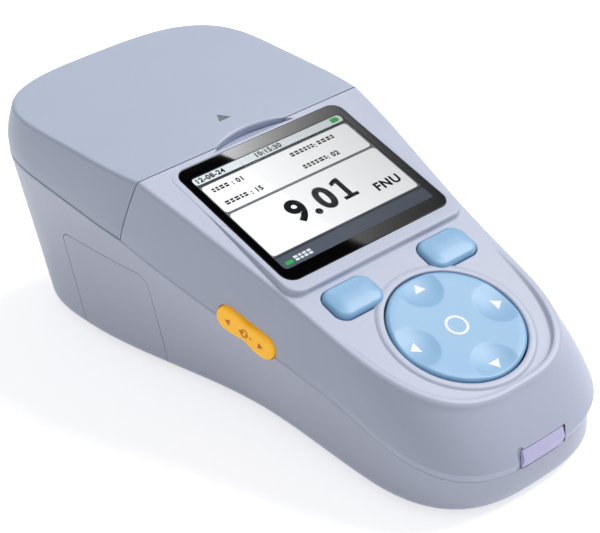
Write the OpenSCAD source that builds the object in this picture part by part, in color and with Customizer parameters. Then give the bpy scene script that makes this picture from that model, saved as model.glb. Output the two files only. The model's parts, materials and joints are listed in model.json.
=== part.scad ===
// Portable turbidity meter: a hand-held light-scatter instrument with a flip lid over the
// sample well at the rear, a colour screen, a keypad on the sloping face and a rocker on its side.
// Millimetres. +X is the user's right, +Y the rear, +Z up. The origin is the middle of the footprint.

/* [Body] */
// Length from the tip of the nose to the back of the hinge barrel
body_len = 250; // [246:1:256]
// Half width of the nose at its widest line
nose_half = 44; // [43:0.5:45.5]
// Half width of the rear at its widest line
rear_half = 57.5; // [56.5:0.5:59]
// Half width of the waist at the floor
waist_base_half = 39; // [37.5:0.5:41]
// Half width of the nose at the floor
nose_base_half = 42; // [41:0.5:43]
// Half width of the rear at the floor
rear_base_half = 50; // [48:0.5:52]
// Length over which the nose rounds off
nose_round = 45; // [40:1:50]
// Length over which the upper edge of the nose rounds off
brow_round = 60; // [54:1:66]
// Length over which the rear rounds off
rear_round = 46; // [42:1:50]
// Roundness exponent of the nose, 2 is an ellipse
nose_power = 2.9; // [2.6:0.1:3.2]
// Roundness exponent of the rear
rear_power = 3.2; // [2.8:0.1:3.5]
// Rounding of the lower edge
base_round = 6; // [4.5:0.5:7]
// Rounding of the upper edge of the keypad shell
face_round = 1.6; // [1.2:0.2:3]
// Rounding of the upper edge of the lid
lid_round = 1.6; // [1.2:0.2:2.6]
// Inward lean of the upper walls, millimetres per millimetre of height
upper_lean = 0.16; // [0.12:0.01:0.2]
// How far the nose leans back between its widest line and the face
nose_lean = 10; // [8:0.5:11]
// Extra bulge halfway up the nose
nose_bulge = 1.5; // [0.5:0.25:2]
// Wall thickness of the two case shells
wall = 2.5; // [2:0.1:3]
// Wall thickness of the lid
lid_wall = 2.3; // [2:0.1:2.8]
// Gap between the two case shells
seam_gap = 0.1; // [0.05:0.05:0.2]
// Gap all round the lid
lid_gap = 0.4; // [0.3:0.05:0.6]
// Inward chamfer that ends at the seam on the nose
seam_chamfer = 1.8; // [1:0.2:2.2]
// Height of the widest line above the seam
shoulder_rise = 4.5; // [3.5:0.5:5.5]

/* [Slopes] */
// Slope of the screen
screen_tilt = 18; // [17:0.5:19]
// Slope of the keypad
keypad_tilt = 20.4; // [20:0.1:21]
// Slope of the top of the lid
lid_tilt = 1.8; // [1:0.2:3]
// Slope of the seam between the case shells
parting_tilt = 17.3; // [17:0.1:17.6]
// Slope of the seam under the lid
deck_tilt = 7.1; // [6.5:0.1:7.5]

/* [Screen] */
// Distance from the tip of the nose to the middle of the screen, seen from above
screen_from_nose = 112; // [110:0.5:114]
// Height of the middle of the screen
screen_z = 74.5; // [73:0.5:76]
// Width of the window
window_w = 77; // [74:0.5:78]
// Height of the window
window_h = 64.3; // [62:0.5:65]
// Corner radius of the window
window_r = 5; // [3:0.5:6]
// Thickness of the window
window_t = 1.5; // [1:0.1:1.8]
// Width of the picture area
picture_w = 70.4; // [66:0.2:72]
// Height of the picture area
picture_h = 53; // [50:0.2:54]
// Width of the raised bezel beyond the window
bezel_side = 2.6; // [2:0.2:3.4]
// Height of the raised bezel below the window
bezel_foot = 5.6; // [4:0.2:7]
// Thickness of the display module
display_t = 3.2; // [2.6:0.2:3.6]

/* [Keypad] */
// Distance from the middle of the screen down to the middle of the disc
pad_below_screen = 76; // [75:0.5:77]
// Drop of the keypad under the plane of the screen at the disc
pad_drop = 3.7; // [3.2:0.1:4.2]
// Radius of the navigation disc
disc_r = 24.5; // [23.5:0.25:25]
// Thickness of the navigation disc
disc_t = 3.4; // [3:0.2:3.8]
// Height of the disc above the keypad
disc_rise = 0.9; // [0.5:0.1:1.2]
// Gap round the disc
disc_gap = 0.6; // [0.4:0.05:0.8]
// Width of the collar round the disc
collar_w = 2.8; // [2:0.2:3.4]
// Height of the rim round the nose above the keypad
rim_h = 1.6; // [1:0.1:2]
// Width of the top of that rim
rim_w = 0.8; // [0.6:0.1:1.2]
// Height of the collar round the disc
collar_h = 0.5; // [0.3:0.1:0.8]
// Distance from the disc to the row of soft keys
key_above_disc = 28.7; // [28.4:0.1:29.4]
// Distance from the centre line to a soft key
key_x = 22.4; // [21.8:0.1:23]
// Width of a soft key
key_w = 21; // [19:0.5:22]
// Height of a soft key along the face
key_h = 14; // [12.5:0.5:14.5]
// Corner radius of a soft key
key_r = 4.5; // [3:0.5:5]
// Height of a soft key above the face
key_rise = 2; // [1.4:0.1:2.6]
// Gap round each key
key_gap = 0.35; // [0.3:0.05:0.5]
// Travel of the soft keys and of the disc
key_travel = 0.7; // [0.5:0.1:0.8]

/* [Side key] */
// Length of the side rocker
rocker_len = 27; // [25:0.5:28.5]
// Width of the side rocker
rocker_w = 9.4; // [8.6:0.2:10]
// Height of the rocker above the wall
rocker_rise = 1.5; // [1:0.1:2]
// Radius of the rocker's pin
rocker_pin_r = 0.9; // [0.8:0.05:1]

/* [Lid and well] */
// Distance from the middle of the screen to the lid along the slope
lid_from_screen = 35; // [34.5:0.1:35.6]
// Height of the lid's side wall at its front corner
skirt_h = 24.8; // [23.5:0.2:26]
// How far the lid's front corner slants back on its way down
skirt_slant = 8.3; // [7:0.1:9]
// Radius of the hinge barrel
barrel_r = 3.2; // [3:0.1:3.4]
// Radius of the hinge pin
pin_r = 1.25; // [1:0.05:1.4]
// Half length of the lid's hinge knuckle
knuckle_half = 17.5; // [15:0.5:20]
// Length of each case knuckle
knuckle_len = 9; // [7:0.5:11]
// Radius of the sample well
well_r = 12.8; // [12.6:0.1:13.1]
// Distance from the hinge to the middle of the well
well_from_hinge = 30; // [29:0.5:31]
// Half width of the finger notch in the lid's front edge
notch_half = 17; // [15:0.5:19]
// Depth of the finger notch
notch_depth = 5; // [4:0.25:5.5]

/* [Battery bay] */
// Front edge of the battery cover
cover_y0 = 21; // [20:0.5:22]
// Rear edge of the battery cover
cover_y1 = 71; // [70:0.5:72]
// Top edge of the battery cover
cover_z1 = 47; // [45:0.5:48]
// Reach of the cover's foot under the case, from the centre line
cover_foot_x = 25; // [20:1:30]
// Gap round the battery cover
cover_gap = 0.3; // [0.25:0.05:0.4]
// Radius of a battery
cell_r = 7.1; // [6.9:0.05:7.2]
// Length of a battery without its button
cell_len = 49; // [48:0.5:49.5]

/* [Floor] */
// Radius of a rubber foot
foot_r = 5; // [4:0.5:6]
// How far the feet stand out of the case
foot_out = 0.8; // [0.6:0.1:1.2]

/* [Hidden] */
$fn = 64;

nose_y = -body_len / 2;
hinge_y = body_len / 2 - barrel_r;
rear_y = hinge_y - 0.8;
base_z = foot_out;
screen_y = nose_y + screen_from_nose;
pad_y = screen_y - pad_below_screen * cos(screen_tilt) + pad_drop * sin(screen_tilt);
pad_z = screen_z - pad_below_screen * sin(screen_tilt) - pad_drop * cos(screen_tilt);
lid_front_y = screen_y + lid_from_screen * cos(screen_tilt);
lid_front_z = screen_z + lid_from_screen * sin(screen_tilt);
seam_y = lid_front_y + skirt_slant;
seam_z = lid_front_z - skirt_h;
slant = skirt_slant / skirt_h;
well_y = hinge_y - well_from_hinge;
far = 200;
ring_steps = 9;
side_steps = 11;
floor_z = base_z + wall;
bezel_top = 1;
bezel_rise = 0.1;
deck_t = 2.4;
notch_r = (notch_half * notch_half + notch_depth * notch_depth) / (2 * notch_depth);
notch_drop = 8.3;
shroud_r = well_r + 7.4;
key_board_depth = 9.4;
main_board_depth = 14;
board_t = 1.6;
board_w = window_w - 5;
board_h = window_h - 10.3;
board_post_r = 2.3;
panel_depth = 5.2;
frame_window_w = window_w - 21;
frame_window_h = window_h - 28.3;
nav_pivot = -5.2;
notch_reach = 44;
block_half = 21;
lens_r = 4;
wide_lens_r = 5;
port_screw_x = 11;
port_screw_y = nose_y + 15;
nail_w = 2.4;
nail_h = 9.4;
nail_depth = 1.6;
flap_w = 19.5;
flap_t = 1.8;
flap_pin_x = flap_w / 2 - 1.35;
flap_pin_y = nose_y + 2.9;
flap_pin_r = 0.5;

// Surfaces that every shell is cut from, as heights along the length
function ease(t) = let (c = min(1, max(0, t))) c * c * (3 - 2 * c);
function parting(y) = seam_z + (y - seam_y) * tan(parting_tilt);
function deck_top(y) = seam_z + (y - seam_y) * tan(deck_tilt);
function split(y) = y < seam_y ? parting(y) : deck_top(y);
function screen_top(y) = screen_z + (y - screen_y) * tan(screen_tilt);
function keypad_top(y) = pad_z + (y - pad_y) * tan(keypad_tilt);
function face_plane(y) = min(keypad_top(y), screen_top(y));
function rim_rise(y) = rim_h * ease((pad_y + 24 - y) / 45);
function face_top(y) = face_plane(y) + rim_rise(y);
function lid_top(y) = lid_front_z + (y - lid_front_y) * tan(lid_tilt);
hinge_z = deck_top(hinge_y);
collar_z = deck_top(well_y) + 5;
block_top = deck_top(well_y - block_half) - deck_t - 0.6;
trap_h = lid_top(well_y) - deck_top(well_y) - 3.6;
well_floor = floor_z + 6;
beam_z = 30;
flap_z0 = parting(nose_y + 1.5) + 0.05;
flap_z1 = flap_z0 + 7.6;
port_board_z = flap_z0 + 0.6;
cell_at_y = [for (d = [-1, 1]) (cover_y0 + cover_y1) / 2 + d * (cell_r + 0.7)];
cell_at_z = [for (k = [1, 3]) floor_z + 1.6 + k * (cell_r + 0.7)];
cell_x0 = -41;
cell_button = 1.4;
cell_x1 = cell_x0 + cell_len + cell_button;
rocker_y = screen_y - 17.7;
rocker_z = parting(rocker_y) + 2.1;
rocker_turn = atan((mid_half(rocker_y + 5) - mid_half(rocker_y - 5)) / 10);
rocker_slope = parting_tilt + 2;

// Half widths along the length
function mid_half(y) = nose_half + (rear_half - nose_half) * ease((y - nose_y - 45) / 125);
waist_y = nose_y + 100;
function base_half(y) = y < waist_y
    ? nose_base_half + (waist_base_half - nose_base_half) * ease((y - nose_y - 36) / 64)
    : waist_base_half + (rear_base_half - waist_base_half) * ease((y - waist_y) / 95);
function chamfer(y) = seam_chamfer * ease((nose_y + 95 - y) / 70);

// One closed outline: right side from the nose to the rear, then back along the left side
function ring(half, ny, ry, height, nose_len = nose_round) = let (
    nose = [for (i = [0 : ring_steps]) let (a = 90 * (1 - i / ring_steps),
        y = ny + nose_len * (1 - pow(sin(a), 2 / nose_power)))
        [half(y) * pow(max(0, cos(a)), 2 / nose_power), y]],
    side = [for (i = [1 : side_steps - 1])
        let (y = ny + nose_len + (ry - rear_round - ny - nose_len) * i / side_steps) [half(y), y]],
    rear = [for (i = [0 : ring_steps]) let (a = 90 * i / ring_steps,
        y = ry - rear_round * (1 - pow(sin(a), 2 / rear_power)))
        [half(y) * pow(max(0, cos(a)), 2 / rear_power), y]],
    right = concat(nose, side, rear),
    last = len(right) - 1,
    left = [for (i = [last - 1 : -1 : 1]) [-right[i][0], right[i][1]]])
    [for (p = concat(right, left)) [p[0], p[1], height(p[1])]];

// Outlines from the floor to the top; t moves the whole surface inwards
function form_rings(t, top, round_top) = let (
    rb = max(0.8, base_round - t),
    rt = max(0.8, round_top - t),
    base_steps = t > 0 ? [0, 90] : [0, 30, 60, 90],
    top_steps = t > 0 ? [90, 0] : [90, 60, 30, 0],
    top_half = function (y) mid_half(y) - upper_lean * (top(y) - split(y) - shoulder_rise) - t)
    concat(
        [for (a = base_steps) let (r = rb * (1 - sin(a)))
            ring(function (y) base_half(y) - t - r, nose_y + 1.5 + t + r, rear_y - 5 - t - r,
                function (y) base_z + t + rb * (1 - cos(a)))],
        [ring(function (y) mid_half(y) - chamfer(y) - t, nose_y + seam_chamfer + t, rear_y - t,
            function (y) split(y) - 0.8)],
        [ring(function (y) mid_half(y) - t, nose_y + t, rear_y - t,
            function (y) split(y) + shoulder_rise)],
        [ring(function (y) (mid_half(y) - t + top_half(y)) / 2 + 0.4,
            nose_y + nose_lean / 2 - nose_bulge + t, rear_y - 1 - t,
            function (y) (split(y) + shoulder_rise + top(y) - t - rt) / 2,
            (nose_round + brow_round) / 2)],
        [for (a = top_steps) let (r = rt * (1 - sin(a)))
            ring(function (y) top_half(y) - r, nose_y + nose_lean + t + r, rear_y - 2.5 - t - r,
                function (y) top(y) - t - rt * (1 - cos(a)), brow_round)]);

module skin(rings) {
    n = len(rings[0]);
    h = n / 2;
    top = (len(rings) - 1) * n;
    walls = [for (k = [0 : len(rings) - 2], j = [0 : n - 1]) let (m = (j + 1) % n)
        [k * n + j, (k + 1) * n + j, (k + 1) * n + m, k * n + m]];
    floor_cap = [for (j = [1 : h - 2]) [j, j + 1, n - j - 1, n - j]];
    roof_cap = [for (j = [1 : h - 2]) [top + n - j, top + n - j - 1, top + j + 1, top + j]];
    tips = [[0, 1, n - 1], [h - 1, h, h + 1],
        [top, top + n - 1, top + 1], [top + h, top + h - 1, top + h + 1]];
    polyhedron(points = [for (r = rings, p = r) p],
        faces = concat(walls, floor_cap, roof_cap, tips), convexity = 6);
}

// Outlines of the pocket that sinks the keypad inside the rim
function pocket_rings() = [for (step = [[rim_w, 1], [rim_w + rim_h, 0]])
    let (r = face_round + step[0])
        ring(function (y) mid_half(y) - upper_lean * (face_top(y) - split(y) - shoulder_rise) - r,
            nose_y + nose_lean + r, rear_y - 2.5 - r,
            function (y) face_plane(y) + step[1] * rim_rise(y), brow_round)];

// The body under the sloping face, and the same body under the lid
module face_form(t = 0) skin(t > 0
    ? form_rings(t, function (y) face_plane(y), face_round)
    : concat(form_rings(0, function (y) face_top(y), face_round), pocket_rings()));
module lid_form(t = 0) skin(form_rings(t, function (y) lid_top(y), lid_round));

// A side profile, given as length and height, run across the whole width
module across(points, width = far) {
    rotate([90, 0, 90]) linear_extrude(height = width, center = true) polygon(points);
}

// Outline with round corners, centred
module round_rect(w, h, r) {
    square([w - 2 * r, h], center = true);
    square([w, h - 2 * r], center = true);
    for (x = [-1, 1], y = [-1, 1]) translate([x * (w / 2 - r), y * (h / 2 - r)]) circle(r);
}
module block(low, high) translate(low) cube(high - low);
module rod_x(r, x0, x1) translate([x0, 0, 0]) rotate([0, 90, 0]) cylinder(r = r, h = x1 - x0);
module rod_y(r, y0, y1) translate([0, y0, 0]) rotate([-90, 0, 0]) cylinder(r = r, h = y1 - y0);
module mirrored() { children(); mirror([1, 0, 0]) children(); }

// Local frames: the screen, the disc's centre, a point of the deck, the hinge and the side rocker
module on_screen() translate([0, screen_y, screen_z]) rotate([screen_tilt, 0, 0]) children();
module on_keypad() translate([0, pad_y, pad_z]) rotate([keypad_tilt, 0, 0]) children();
module on_deck(x, y) translate([x, y, deck_top(y)]) rotate([deck_tilt, 0, 0]) children();
module on_hinge() translate([0, hinge_y, hinge_z]) children();
module on_rocker() translate([-mid_half(rocker_y), rocker_y, rocker_z]) rotate([0, 0, rocker_turn])
    rotate([0, -90, 0]) rotate([0, 0, -rocker_slope]) children();

// Side profiles of the shells
module top_region(gap) across([[nose_y - 20, parting(nose_y - 20) + gap],
    [seam_y - gap, parting(seam_y - gap) + gap], [seam_y - gap - slant * 80, seam_z + 80],
    [nose_y - 20, seam_z + 80]]);
module bottom_region() across([[nose_y - 20, -5], [rear_y + 20, -5],
    [rear_y + 20, deck_top(rear_y + 20)], [seam_y, seam_z], [nose_y - 20, parting(nose_y - 20)]]);
module lid_region(gap) across([[seam_y + gap, seam_z + gap],
    [rear_y + 20, deck_top(rear_y + 20) + gap],
    [rear_y + 20, seam_z + 80], [seam_y + gap - slant * 80, seam_z + 80]]);
module under_deck(gap) across([[nose_y, -5], [rear_y + 20, -5],
    [rear_y + 20, deck_top(rear_y + 20) - deck_t - gap],
    [seam_y - 30, deck_top(seam_y - 30) - deck_t - gap]]);
module under_roof(gap) across([[nose_y - 20, keypad_top(nose_y - 20) - gap],
    [seam_y + 20, keypad_top(seam_y + 20) - gap], [seam_y + 20, -5], [nose_y - 20, -5]]);

// Screw places as [x, y]
case_screw_at = [for (x = [-1, 1]) each [[x * 30, nose_y + 20], [x * 31.6, nose_y + 53]]];
deck_screw_at = [for (x = [-1, 1]) each [[x * 38, well_y - 15], [x * 28, well_y + 12]]];
foot_at = [for (x = [-1, 1]) each [[x * 24, nose_y + 29], [x * 27, well_y + 6]]];
board_post_at = [for (x = [-1, 1], y = [-1, 1]) [x * (board_w / 2 - 4), y * (board_h / 2 - 4)]];
key_post_at = [[-disc_r - 6, 0], [disc_r + 6, 0], [0, key_above_disc + 2]];

module pill(length, width) {
    square([width, length - width], center = true);
    for (y = [-1, 1]) translate([0, y * (length - width) / 2]) circle(width / 2);
}
module cover_profile(grow) {
    rotate([90, 0, 90]) linear_extrude(height = far) union() {
        translate([cover_y0 - grow, -5]) square([cover_y1 - cover_y0 + 2 * grow, cover_z1 + 5 - 6]);
        translate([cover_y0 + 6, -5]) square([cover_y1 - cover_y0 - 12, cover_z1 + 5 + grow]);
        for (y = [cover_y0 + 6, cover_y1 - 6]) translate([y, cover_z1 - 6]) circle(6 + grow);
    }
}
module notch_cylinder(grow, low) {
    translate([0, lid_front_y + notch_depth - notch_r, low])
        cylinder(r = notch_r + grow, h = far);
}

module bottom_case() {
    color([0.70, 0.72, 0.82]) difference() {
        union() {
            difference() {
                intersection() { face_form(); bottom_region(); }
                face_form(wall);
            }
            intersection() {
                face_form(0.4);
                bottom_region();
                union() {
                    for (p = case_screw_at) translate([p[0], p[1], 0])
                        cylinder(r = 3.6, h = parting(p[1]) + 4);
                    for (x = [-1, 1]) translate([x * port_screw_x, port_screw_y, 0])
                        cylinder(r = 2.4, h = port_board_z - 0.1);
                    for (y = [nose_y + 42, nose_y + 66, nose_y + 90])
                        block([-30, y, 1], [30, y + 1.6, floor_z + 4]);
                    for (x = [-12, 12]) block([x - 0.8, nose_y + 30, 1], [x + 0.8, nose_y + 92, floor_z + 4]);
                    block([flap_pin_x - 2.5, nose_y, 1], [flap_pin_x + 2.5, nose_y + 5, far]);
                }
            }
            intersection() {
                face_form(0.4);
                under_deck(0.1);
                for (p = deck_screw_at) translate([p[0], p[1], 1]) cylinder(r = 3.2, h = far);
            }
            on_hinge() for (x = [-1, 1])
                translate([x * (knuckle_half + lid_gap + knuckle_len / 2), 0, 0]) {
                    rod_x(barrel_r, -knuckle_len / 2, knuckle_len / 2);
                    across([[-2.6, -9], [-0.6, -9], [barrel_r - 0.6, -1.6], [0, 0], [-2.6, 0]],
                        knuckle_len);
                }
        }
        for (p = case_screw_at) translate([p[0], p[1], 0]) {
            cylinder(r = 1.7, h = far);
            cylinder(r = 3.1, h = base_z + 2.6);
        }
        for (p = deck_screw_at) on_deck(p[0], p[1]) translate([0, 0, -11]) cylinder(r = 1.3, h = 14);
        for (x = [-1, 1]) translate([x * port_screw_x, port_screw_y, port_board_z - 5.2])
            cylinder(r = 1.05, h = 9);
        for (p = foot_at) translate([p[0], p[1], -1]) cylinder(r = foot_r + 0.2, h = base_z + 1.75);
        translate([-far - cover_foot_x + cover_gap, 0, 0]) cover_profile(cover_gap);
        on_hinge() {
            rod_x(barrel_r + lid_gap, -knuckle_half - lid_gap, knuckle_half + lid_gap);
            rod_x(pin_r + 0.05, -50, 50);
        }
        translate([flap_pin_x, flap_pin_y, flap_z0 - 2.7]) cylinder(r = flap_pin_r + 0.05, h = 9);
        translate([flap_pin_x, flap_pin_y, flap_z0 - 0.3]) cylinder(r = 3.5, h = far);
        block([-flap_w / 2 - 0.3, nose_y - 5, flap_z0 - 0.3], [flap_w / 2 + 0.3, nose_y + 5.2, far]);
        on_rocker() translate([0, 0, -12]) linear_extrude(height = 20)
            pill(rocker_len + 2 * key_gap, rocker_w + 2 * key_gap);
    }
}

module top_case() {
    ring_depth = 5;
    color([0.79, 0.80, 0.89]) difference() {
        union() {
            difference() {
                intersection() { face_form(); top_region(seam_gap); }
                difference() {
                    face_form(wall);
                    across([[seam_y - wall - 0.2 + slant * 80, seam_z - 80],
                        [seam_y + 99, seam_z - 80], [seam_y + 99, seam_z + 80],
                        [seam_y - wall - 0.2 - slant * 80, seam_z + 80]]);
                }
            }
            // Raised bezel, its frame under the roof and the rails beside the display
            on_screen() {
                translate([0, (bezel_top - bezel_foot) / 2, -3])
                    linear_extrude(height = 3 + bezel_rise) round_rect(window_w + 2 * bezel_side,
                        window_h + bezel_top + bezel_foot, window_r + 1);
                translate([0, 0, -ring_depth]) linear_extrude(height = ring_depth - 1.5)
                    square([window_w + 1, window_h + 0.2], center = true);
                mirrored() block([window_w / 2 + 0.7, -28, -10.5], [window_w / 2 + 2.5, 28, -1.5]);
            }
            // Collar round the disc and posts for the key board
            on_keypad() {
                translate([0, 0, -1.5]) cylinder(r = disc_r + disc_gap + collar_w, h = 1.5 + collar_h);
                for (p = key_post_at) translate([p[0], p[1], -key_board_depth + 0.1])
                    cylinder(r = board_post_r, h = key_board_depth - 1);
            }
            intersection() {
                face_form(0.4);
                top_region(seam_gap);
                under_roof(1);
                for (p = case_screw_at) translate([p[0], p[1], 5]) cylinder(r = 3.4, h = far);
            }
            // Boss over the pin of the port flap
            intersection() {
                face_form(0.4);
                block([flap_pin_x - 2.5, nose_y, flap_z1 + 0.3],
                    [flap_pin_x + 2.5, nose_y + 5, flap_z1 + 3.4]);
            }
            // Apron that fills the foot of the finger notch
            intersection() {
                notch_cylinder(-lid_gap, 0);
                across([[lid_front_y - 1, lid_front_z - 1.5],
                    [lid_front_y + 6, lid_front_z - notch_drop], [lid_front_y + 6, lid_front_z - 17],
                    [lid_front_y + 3.5, lid_front_z - 15]], notch_reach);
            }
        }
        on_screen() {
            translate([0, 0, bezel_rise - 0.1 - window_t]) linear_extrude(height = 9)
                round_rect(window_w + 0.3, window_h + 0.3, window_r);
            translate([0, 0, -9]) linear_extrude(height = 12)
                square([picture_w + 1.6, picture_h + 1.6], center = true);
        }
        on_keypad() {
            translate([0, 0, -6]) cylinder(r = disc_r + disc_gap, h = 12);
            for (x = [-1, 1]) translate([x * key_x, key_above_disc, -6]) linear_extrude(height = 12)
                round_rect(key_w + 2 * key_gap, key_h + 2 * key_gap, key_r + key_gap);
            for (p = key_post_at) translate([p[0], p[1], -key_board_depth]) cylinder(r = 0.95, h = 6);
        }
        // Scoop that leads a fingertip into the notch
        intersection() {
            notch_cylinder(-lid_gap, 0);
            across([[lid_front_y - 1.5, lid_front_z + 3], [lid_front_y - 1.5, lid_front_z - 0.8],
                [lid_front_y + 6, lid_front_z - notch_drop], [lid_front_y + 6, lid_front_z + 3]],
                notch_reach);
        }
        for (p = case_screw_at) translate([p[0], p[1], 5]) cylinder(r = 1.55, h = parting(p[1]) + 3);
        block([-flap_w / 2 - 0.3, nose_y - 5, 0], [flap_w / 2 + 0.3, nose_y + 7, flap_z1 + 0.3]);
        // Nail slot beside the flap
        translate([-flap_w / 2 - 0.3, nose_y + nail_depth, flap_z0 + nail_h / 2 - 0.3])
            rotate([90, 0, 0]) linear_extrude(height = 20) pill(nail_h, nail_w);
        translate([flap_pin_x, flap_pin_y, 0]) {
            cylinder(r = 3.5, h = flap_z1 + 0.3);
            cylinder(r = flap_pin_r + 0.05, h = flap_z1 + 2.8);
        }
        on_rocker() translate([0, 0, -12]) linear_extrude(height = 20)
            pill(rocker_len + 2 * key_gap, rocker_w + 2 * key_gap);
    }
}

module lid() {
    color([0.72, 0.76, 0.84]) difference() {
        union() {
            difference() {
                intersection() { lid_form(); lid_region(lid_gap); }
                difference() {
                    intersection() { lid_form(lid_wall); lid_region(lid_gap + lid_wall); }
                    notch_cylinder(lid_wall, 0);
                }
                // Open the underside down to the seam, inside the walls
                intersection() {
                    lid_form(lid_wall);
                    across([[seam_y + lid_gap + lid_wall, seam_z - 5], [rear_y + 20, seam_z - 5],
                        [rear_y + 20, deck_top(rear_y + 20) + 5],
                        [seam_y + lid_gap + lid_wall, seam_z + 6]]);
                }
            }
            on_hinge() {
                rod_x(barrel_r, -knuckle_half, knuckle_half);
                across([[-2.6, 9], [-1.4, 9], [barrel_r - 0.6, 1.6], [0, 0], [-2.6, 0]],
                    2 * knuckle_half);
            }
        }
        difference() {
            notch_cylinder(0, 0);
            block([-far, lid_front_y + notch_depth + 1, 0], [far, far, far]);
        }
        on_hinge() {
            mirrored()
                rod_x(barrel_r + lid_gap, knuckle_half, knuckle_half + knuckle_len + 2 * lid_gap);
            rod_x(pin_r + 0.05, -50, 50);
        }
    }
}

module light_trap() color([0.12, 0.12, 0.13]) translate([0, well_y, lid_top(well_y)])
    rotate([lid_tilt, 0, 0]) difference() {
        translate([0, 0, -trap_h]) cylinder(r = shroud_r + 1.8, h = trap_h - lid_wall - 0.2);
        translate([0, 0, -trap_h - 1]) cylinder(r = shroud_r, h = trap_h - lid_wall - 0.8);
    }

module hinge_pin() color([0.75, 0.76, 0.78]) on_hinge()
    rod_x(pin_r, -knuckle_half - lid_gap - knuckle_len, knuckle_half + lid_gap + knuckle_len);

module cell_deck() {
    color([0.25, 0.26, 0.29]) difference() {
        union() {
            intersection() {
                face_form(wall + 0.3);
                across([[seam_y + 0.4, deck_top(seam_y + 0.4) - deck_t],
                    [rear_y + 9, deck_top(rear_y + 9) - deck_t], [rear_y + 9, deck_top(rear_y + 9)],
                    [seam_y + 0.4, deck_top(seam_y + 0.4)]]);
            }
            intersection() {
                translate([0, well_y, 0]) cylinder(r = shroud_r - 1.6, h = collar_z);
                across([[seam_y, deck_top(seam_y) - 1], [rear_y, deck_top(rear_y) - 1],
                    [rear_y, far], [seam_y, far]]);
            }
        }
        translate([0, well_y, 0]) {
            cylinder(r = well_r + 0.5, h = far);
            translate([0, 0, collar_z - 3]) rotate_extrude() translate([well_r + 1.3, 0])
                circle(r = 0.95, $fn = 24);
        }
        for (p = deck_screw_at) on_deck(p[0], p[1]) translate([0, 0, -6]) cylinder(r = 1.5, h = 12);
    }
}
module deck_screws() color([0.72, 0.73, 0.75]) for (p = deck_screw_at) on_deck(p[0], p[1]) {
    cylinder(r = 2.4, h = 1.4);
    translate([0, 0, -10.5]) cylinder(r = 1.25, h = 11);
}
module well_seal() color([0.12, 0.12, 0.13]) translate([0, well_y, collar_z - 3]) rotate_extrude()
    translate([well_r + 1.3, 0]) circle(r = 0.9, $fn = 24);

module window() color([0.05, 0.05, 0.06]) on_screen() translate([0, 0, bezel_rise - window_t - 0.05])
    linear_extrude(height = window_t) round_rect(window_w, window_h, window_r - 0.15);
// The panel's slab with its light guide, which reaches up to the window
module display_panel() color([0.85, 0.88, 0.92]) on_screen() {
    translate([0, 0, -panel_depth - display_t]) linear_extrude(height = display_t)
        square([window_w - 0.2, window_h - 0.4], center = true);
    translate([0, 0, -panel_depth - 0.1]) linear_extrude(height = panel_depth - window_t)
        square([picture_w, picture_h], center = true);
}
module display_frame() color([0.62, 0.63, 0.65]) on_screen() {
    difference() {
        translate([0, 0, -panel_depth - display_t - 1.2]) linear_extrude(height = 1)
            square([window_w + 1, window_h - 0.4], center = true);
        translate([0, 0, -panel_depth - display_t - 3]) linear_extrude(height = 4)
            square([frame_window_w, frame_window_h], center = true);
    }
    for (p = board_post_at) translate([p[0], p[1], -main_board_depth + 0.1]) difference() {
        cylinder(r = board_post_r, h = main_board_depth - panel_depth - display_t - 1.2);
        translate([0, 0, -1]) cylinder(r = 1.05, h = 4.5);
    }
}
module main_board() color([0.10, 0.35, 0.22]) on_screen()
    translate([0, 0, -main_board_depth - board_t]) difference() {
        linear_extrude(height = board_t) square([board_w, board_h], center = true);
        for (p = board_post_at) translate([p[0], p[1], -1]) cylinder(r = 1.2, h = 4);
    }
module board_parts() color([0.13, 0.13, 0.14]) on_screen()
    translate([0, 0, -main_board_depth - board_t]) {
        block([-7, -7, -1.4], [7, 7, 0]);
        block([14, -12, -1.2], [22, -4, 0]);
        block([-24, 4, -1.6], [-14, 12, 0]);
        block([-board_w / 4, 3 - board_h / 2, -4], [board_w / 4, 7 - board_h / 2, 0]);
        block([12, 8, -1], [18, 12, 0]);
    }
module board_screws() color([0.72, 0.73, 0.75]) on_screen() for (p = board_post_at)
    translate([p[0], p[1], -main_board_depth - board_t - 0.1]) {
        translate([0, 0, -1.3]) cylinder(r = 2, h = 1.3);
        translate([0, 0, -0.1]) cylinder(r = 1, h = 5);
    }

module soft_key() {
    translate([0, 0, -3.6]) linear_extrude(height = 3.6 + key_rise) round_rect(key_w, key_h, key_r);
    translate([0, 0, -3.6]) linear_extrude(height = 0.8) round_rect(key_w + 2.2, key_h, key_r);
}
module on_key(side) on_keypad() translate([side * key_x, key_above_disc, 0]) children();
module soft_key_left() color([0.60, 0.77, 0.91]) on_key(-1) soft_key();
module soft_key_right() color([0.60, 0.77, 0.91]) on_key(1) soft_key();
module key_dome() translate([0, 0, -key_board_depth + 0.1])
    cylinder(r1 = 4.4, r2 = 3, h = key_board_depth - 3.85);
module left_key_dome() color([0.55, 0.57, 0.62]) on_key(-1) key_dome();
module right_key_dome() color([0.55, 0.57, 0.62]) on_key(1) key_dome();

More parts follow.
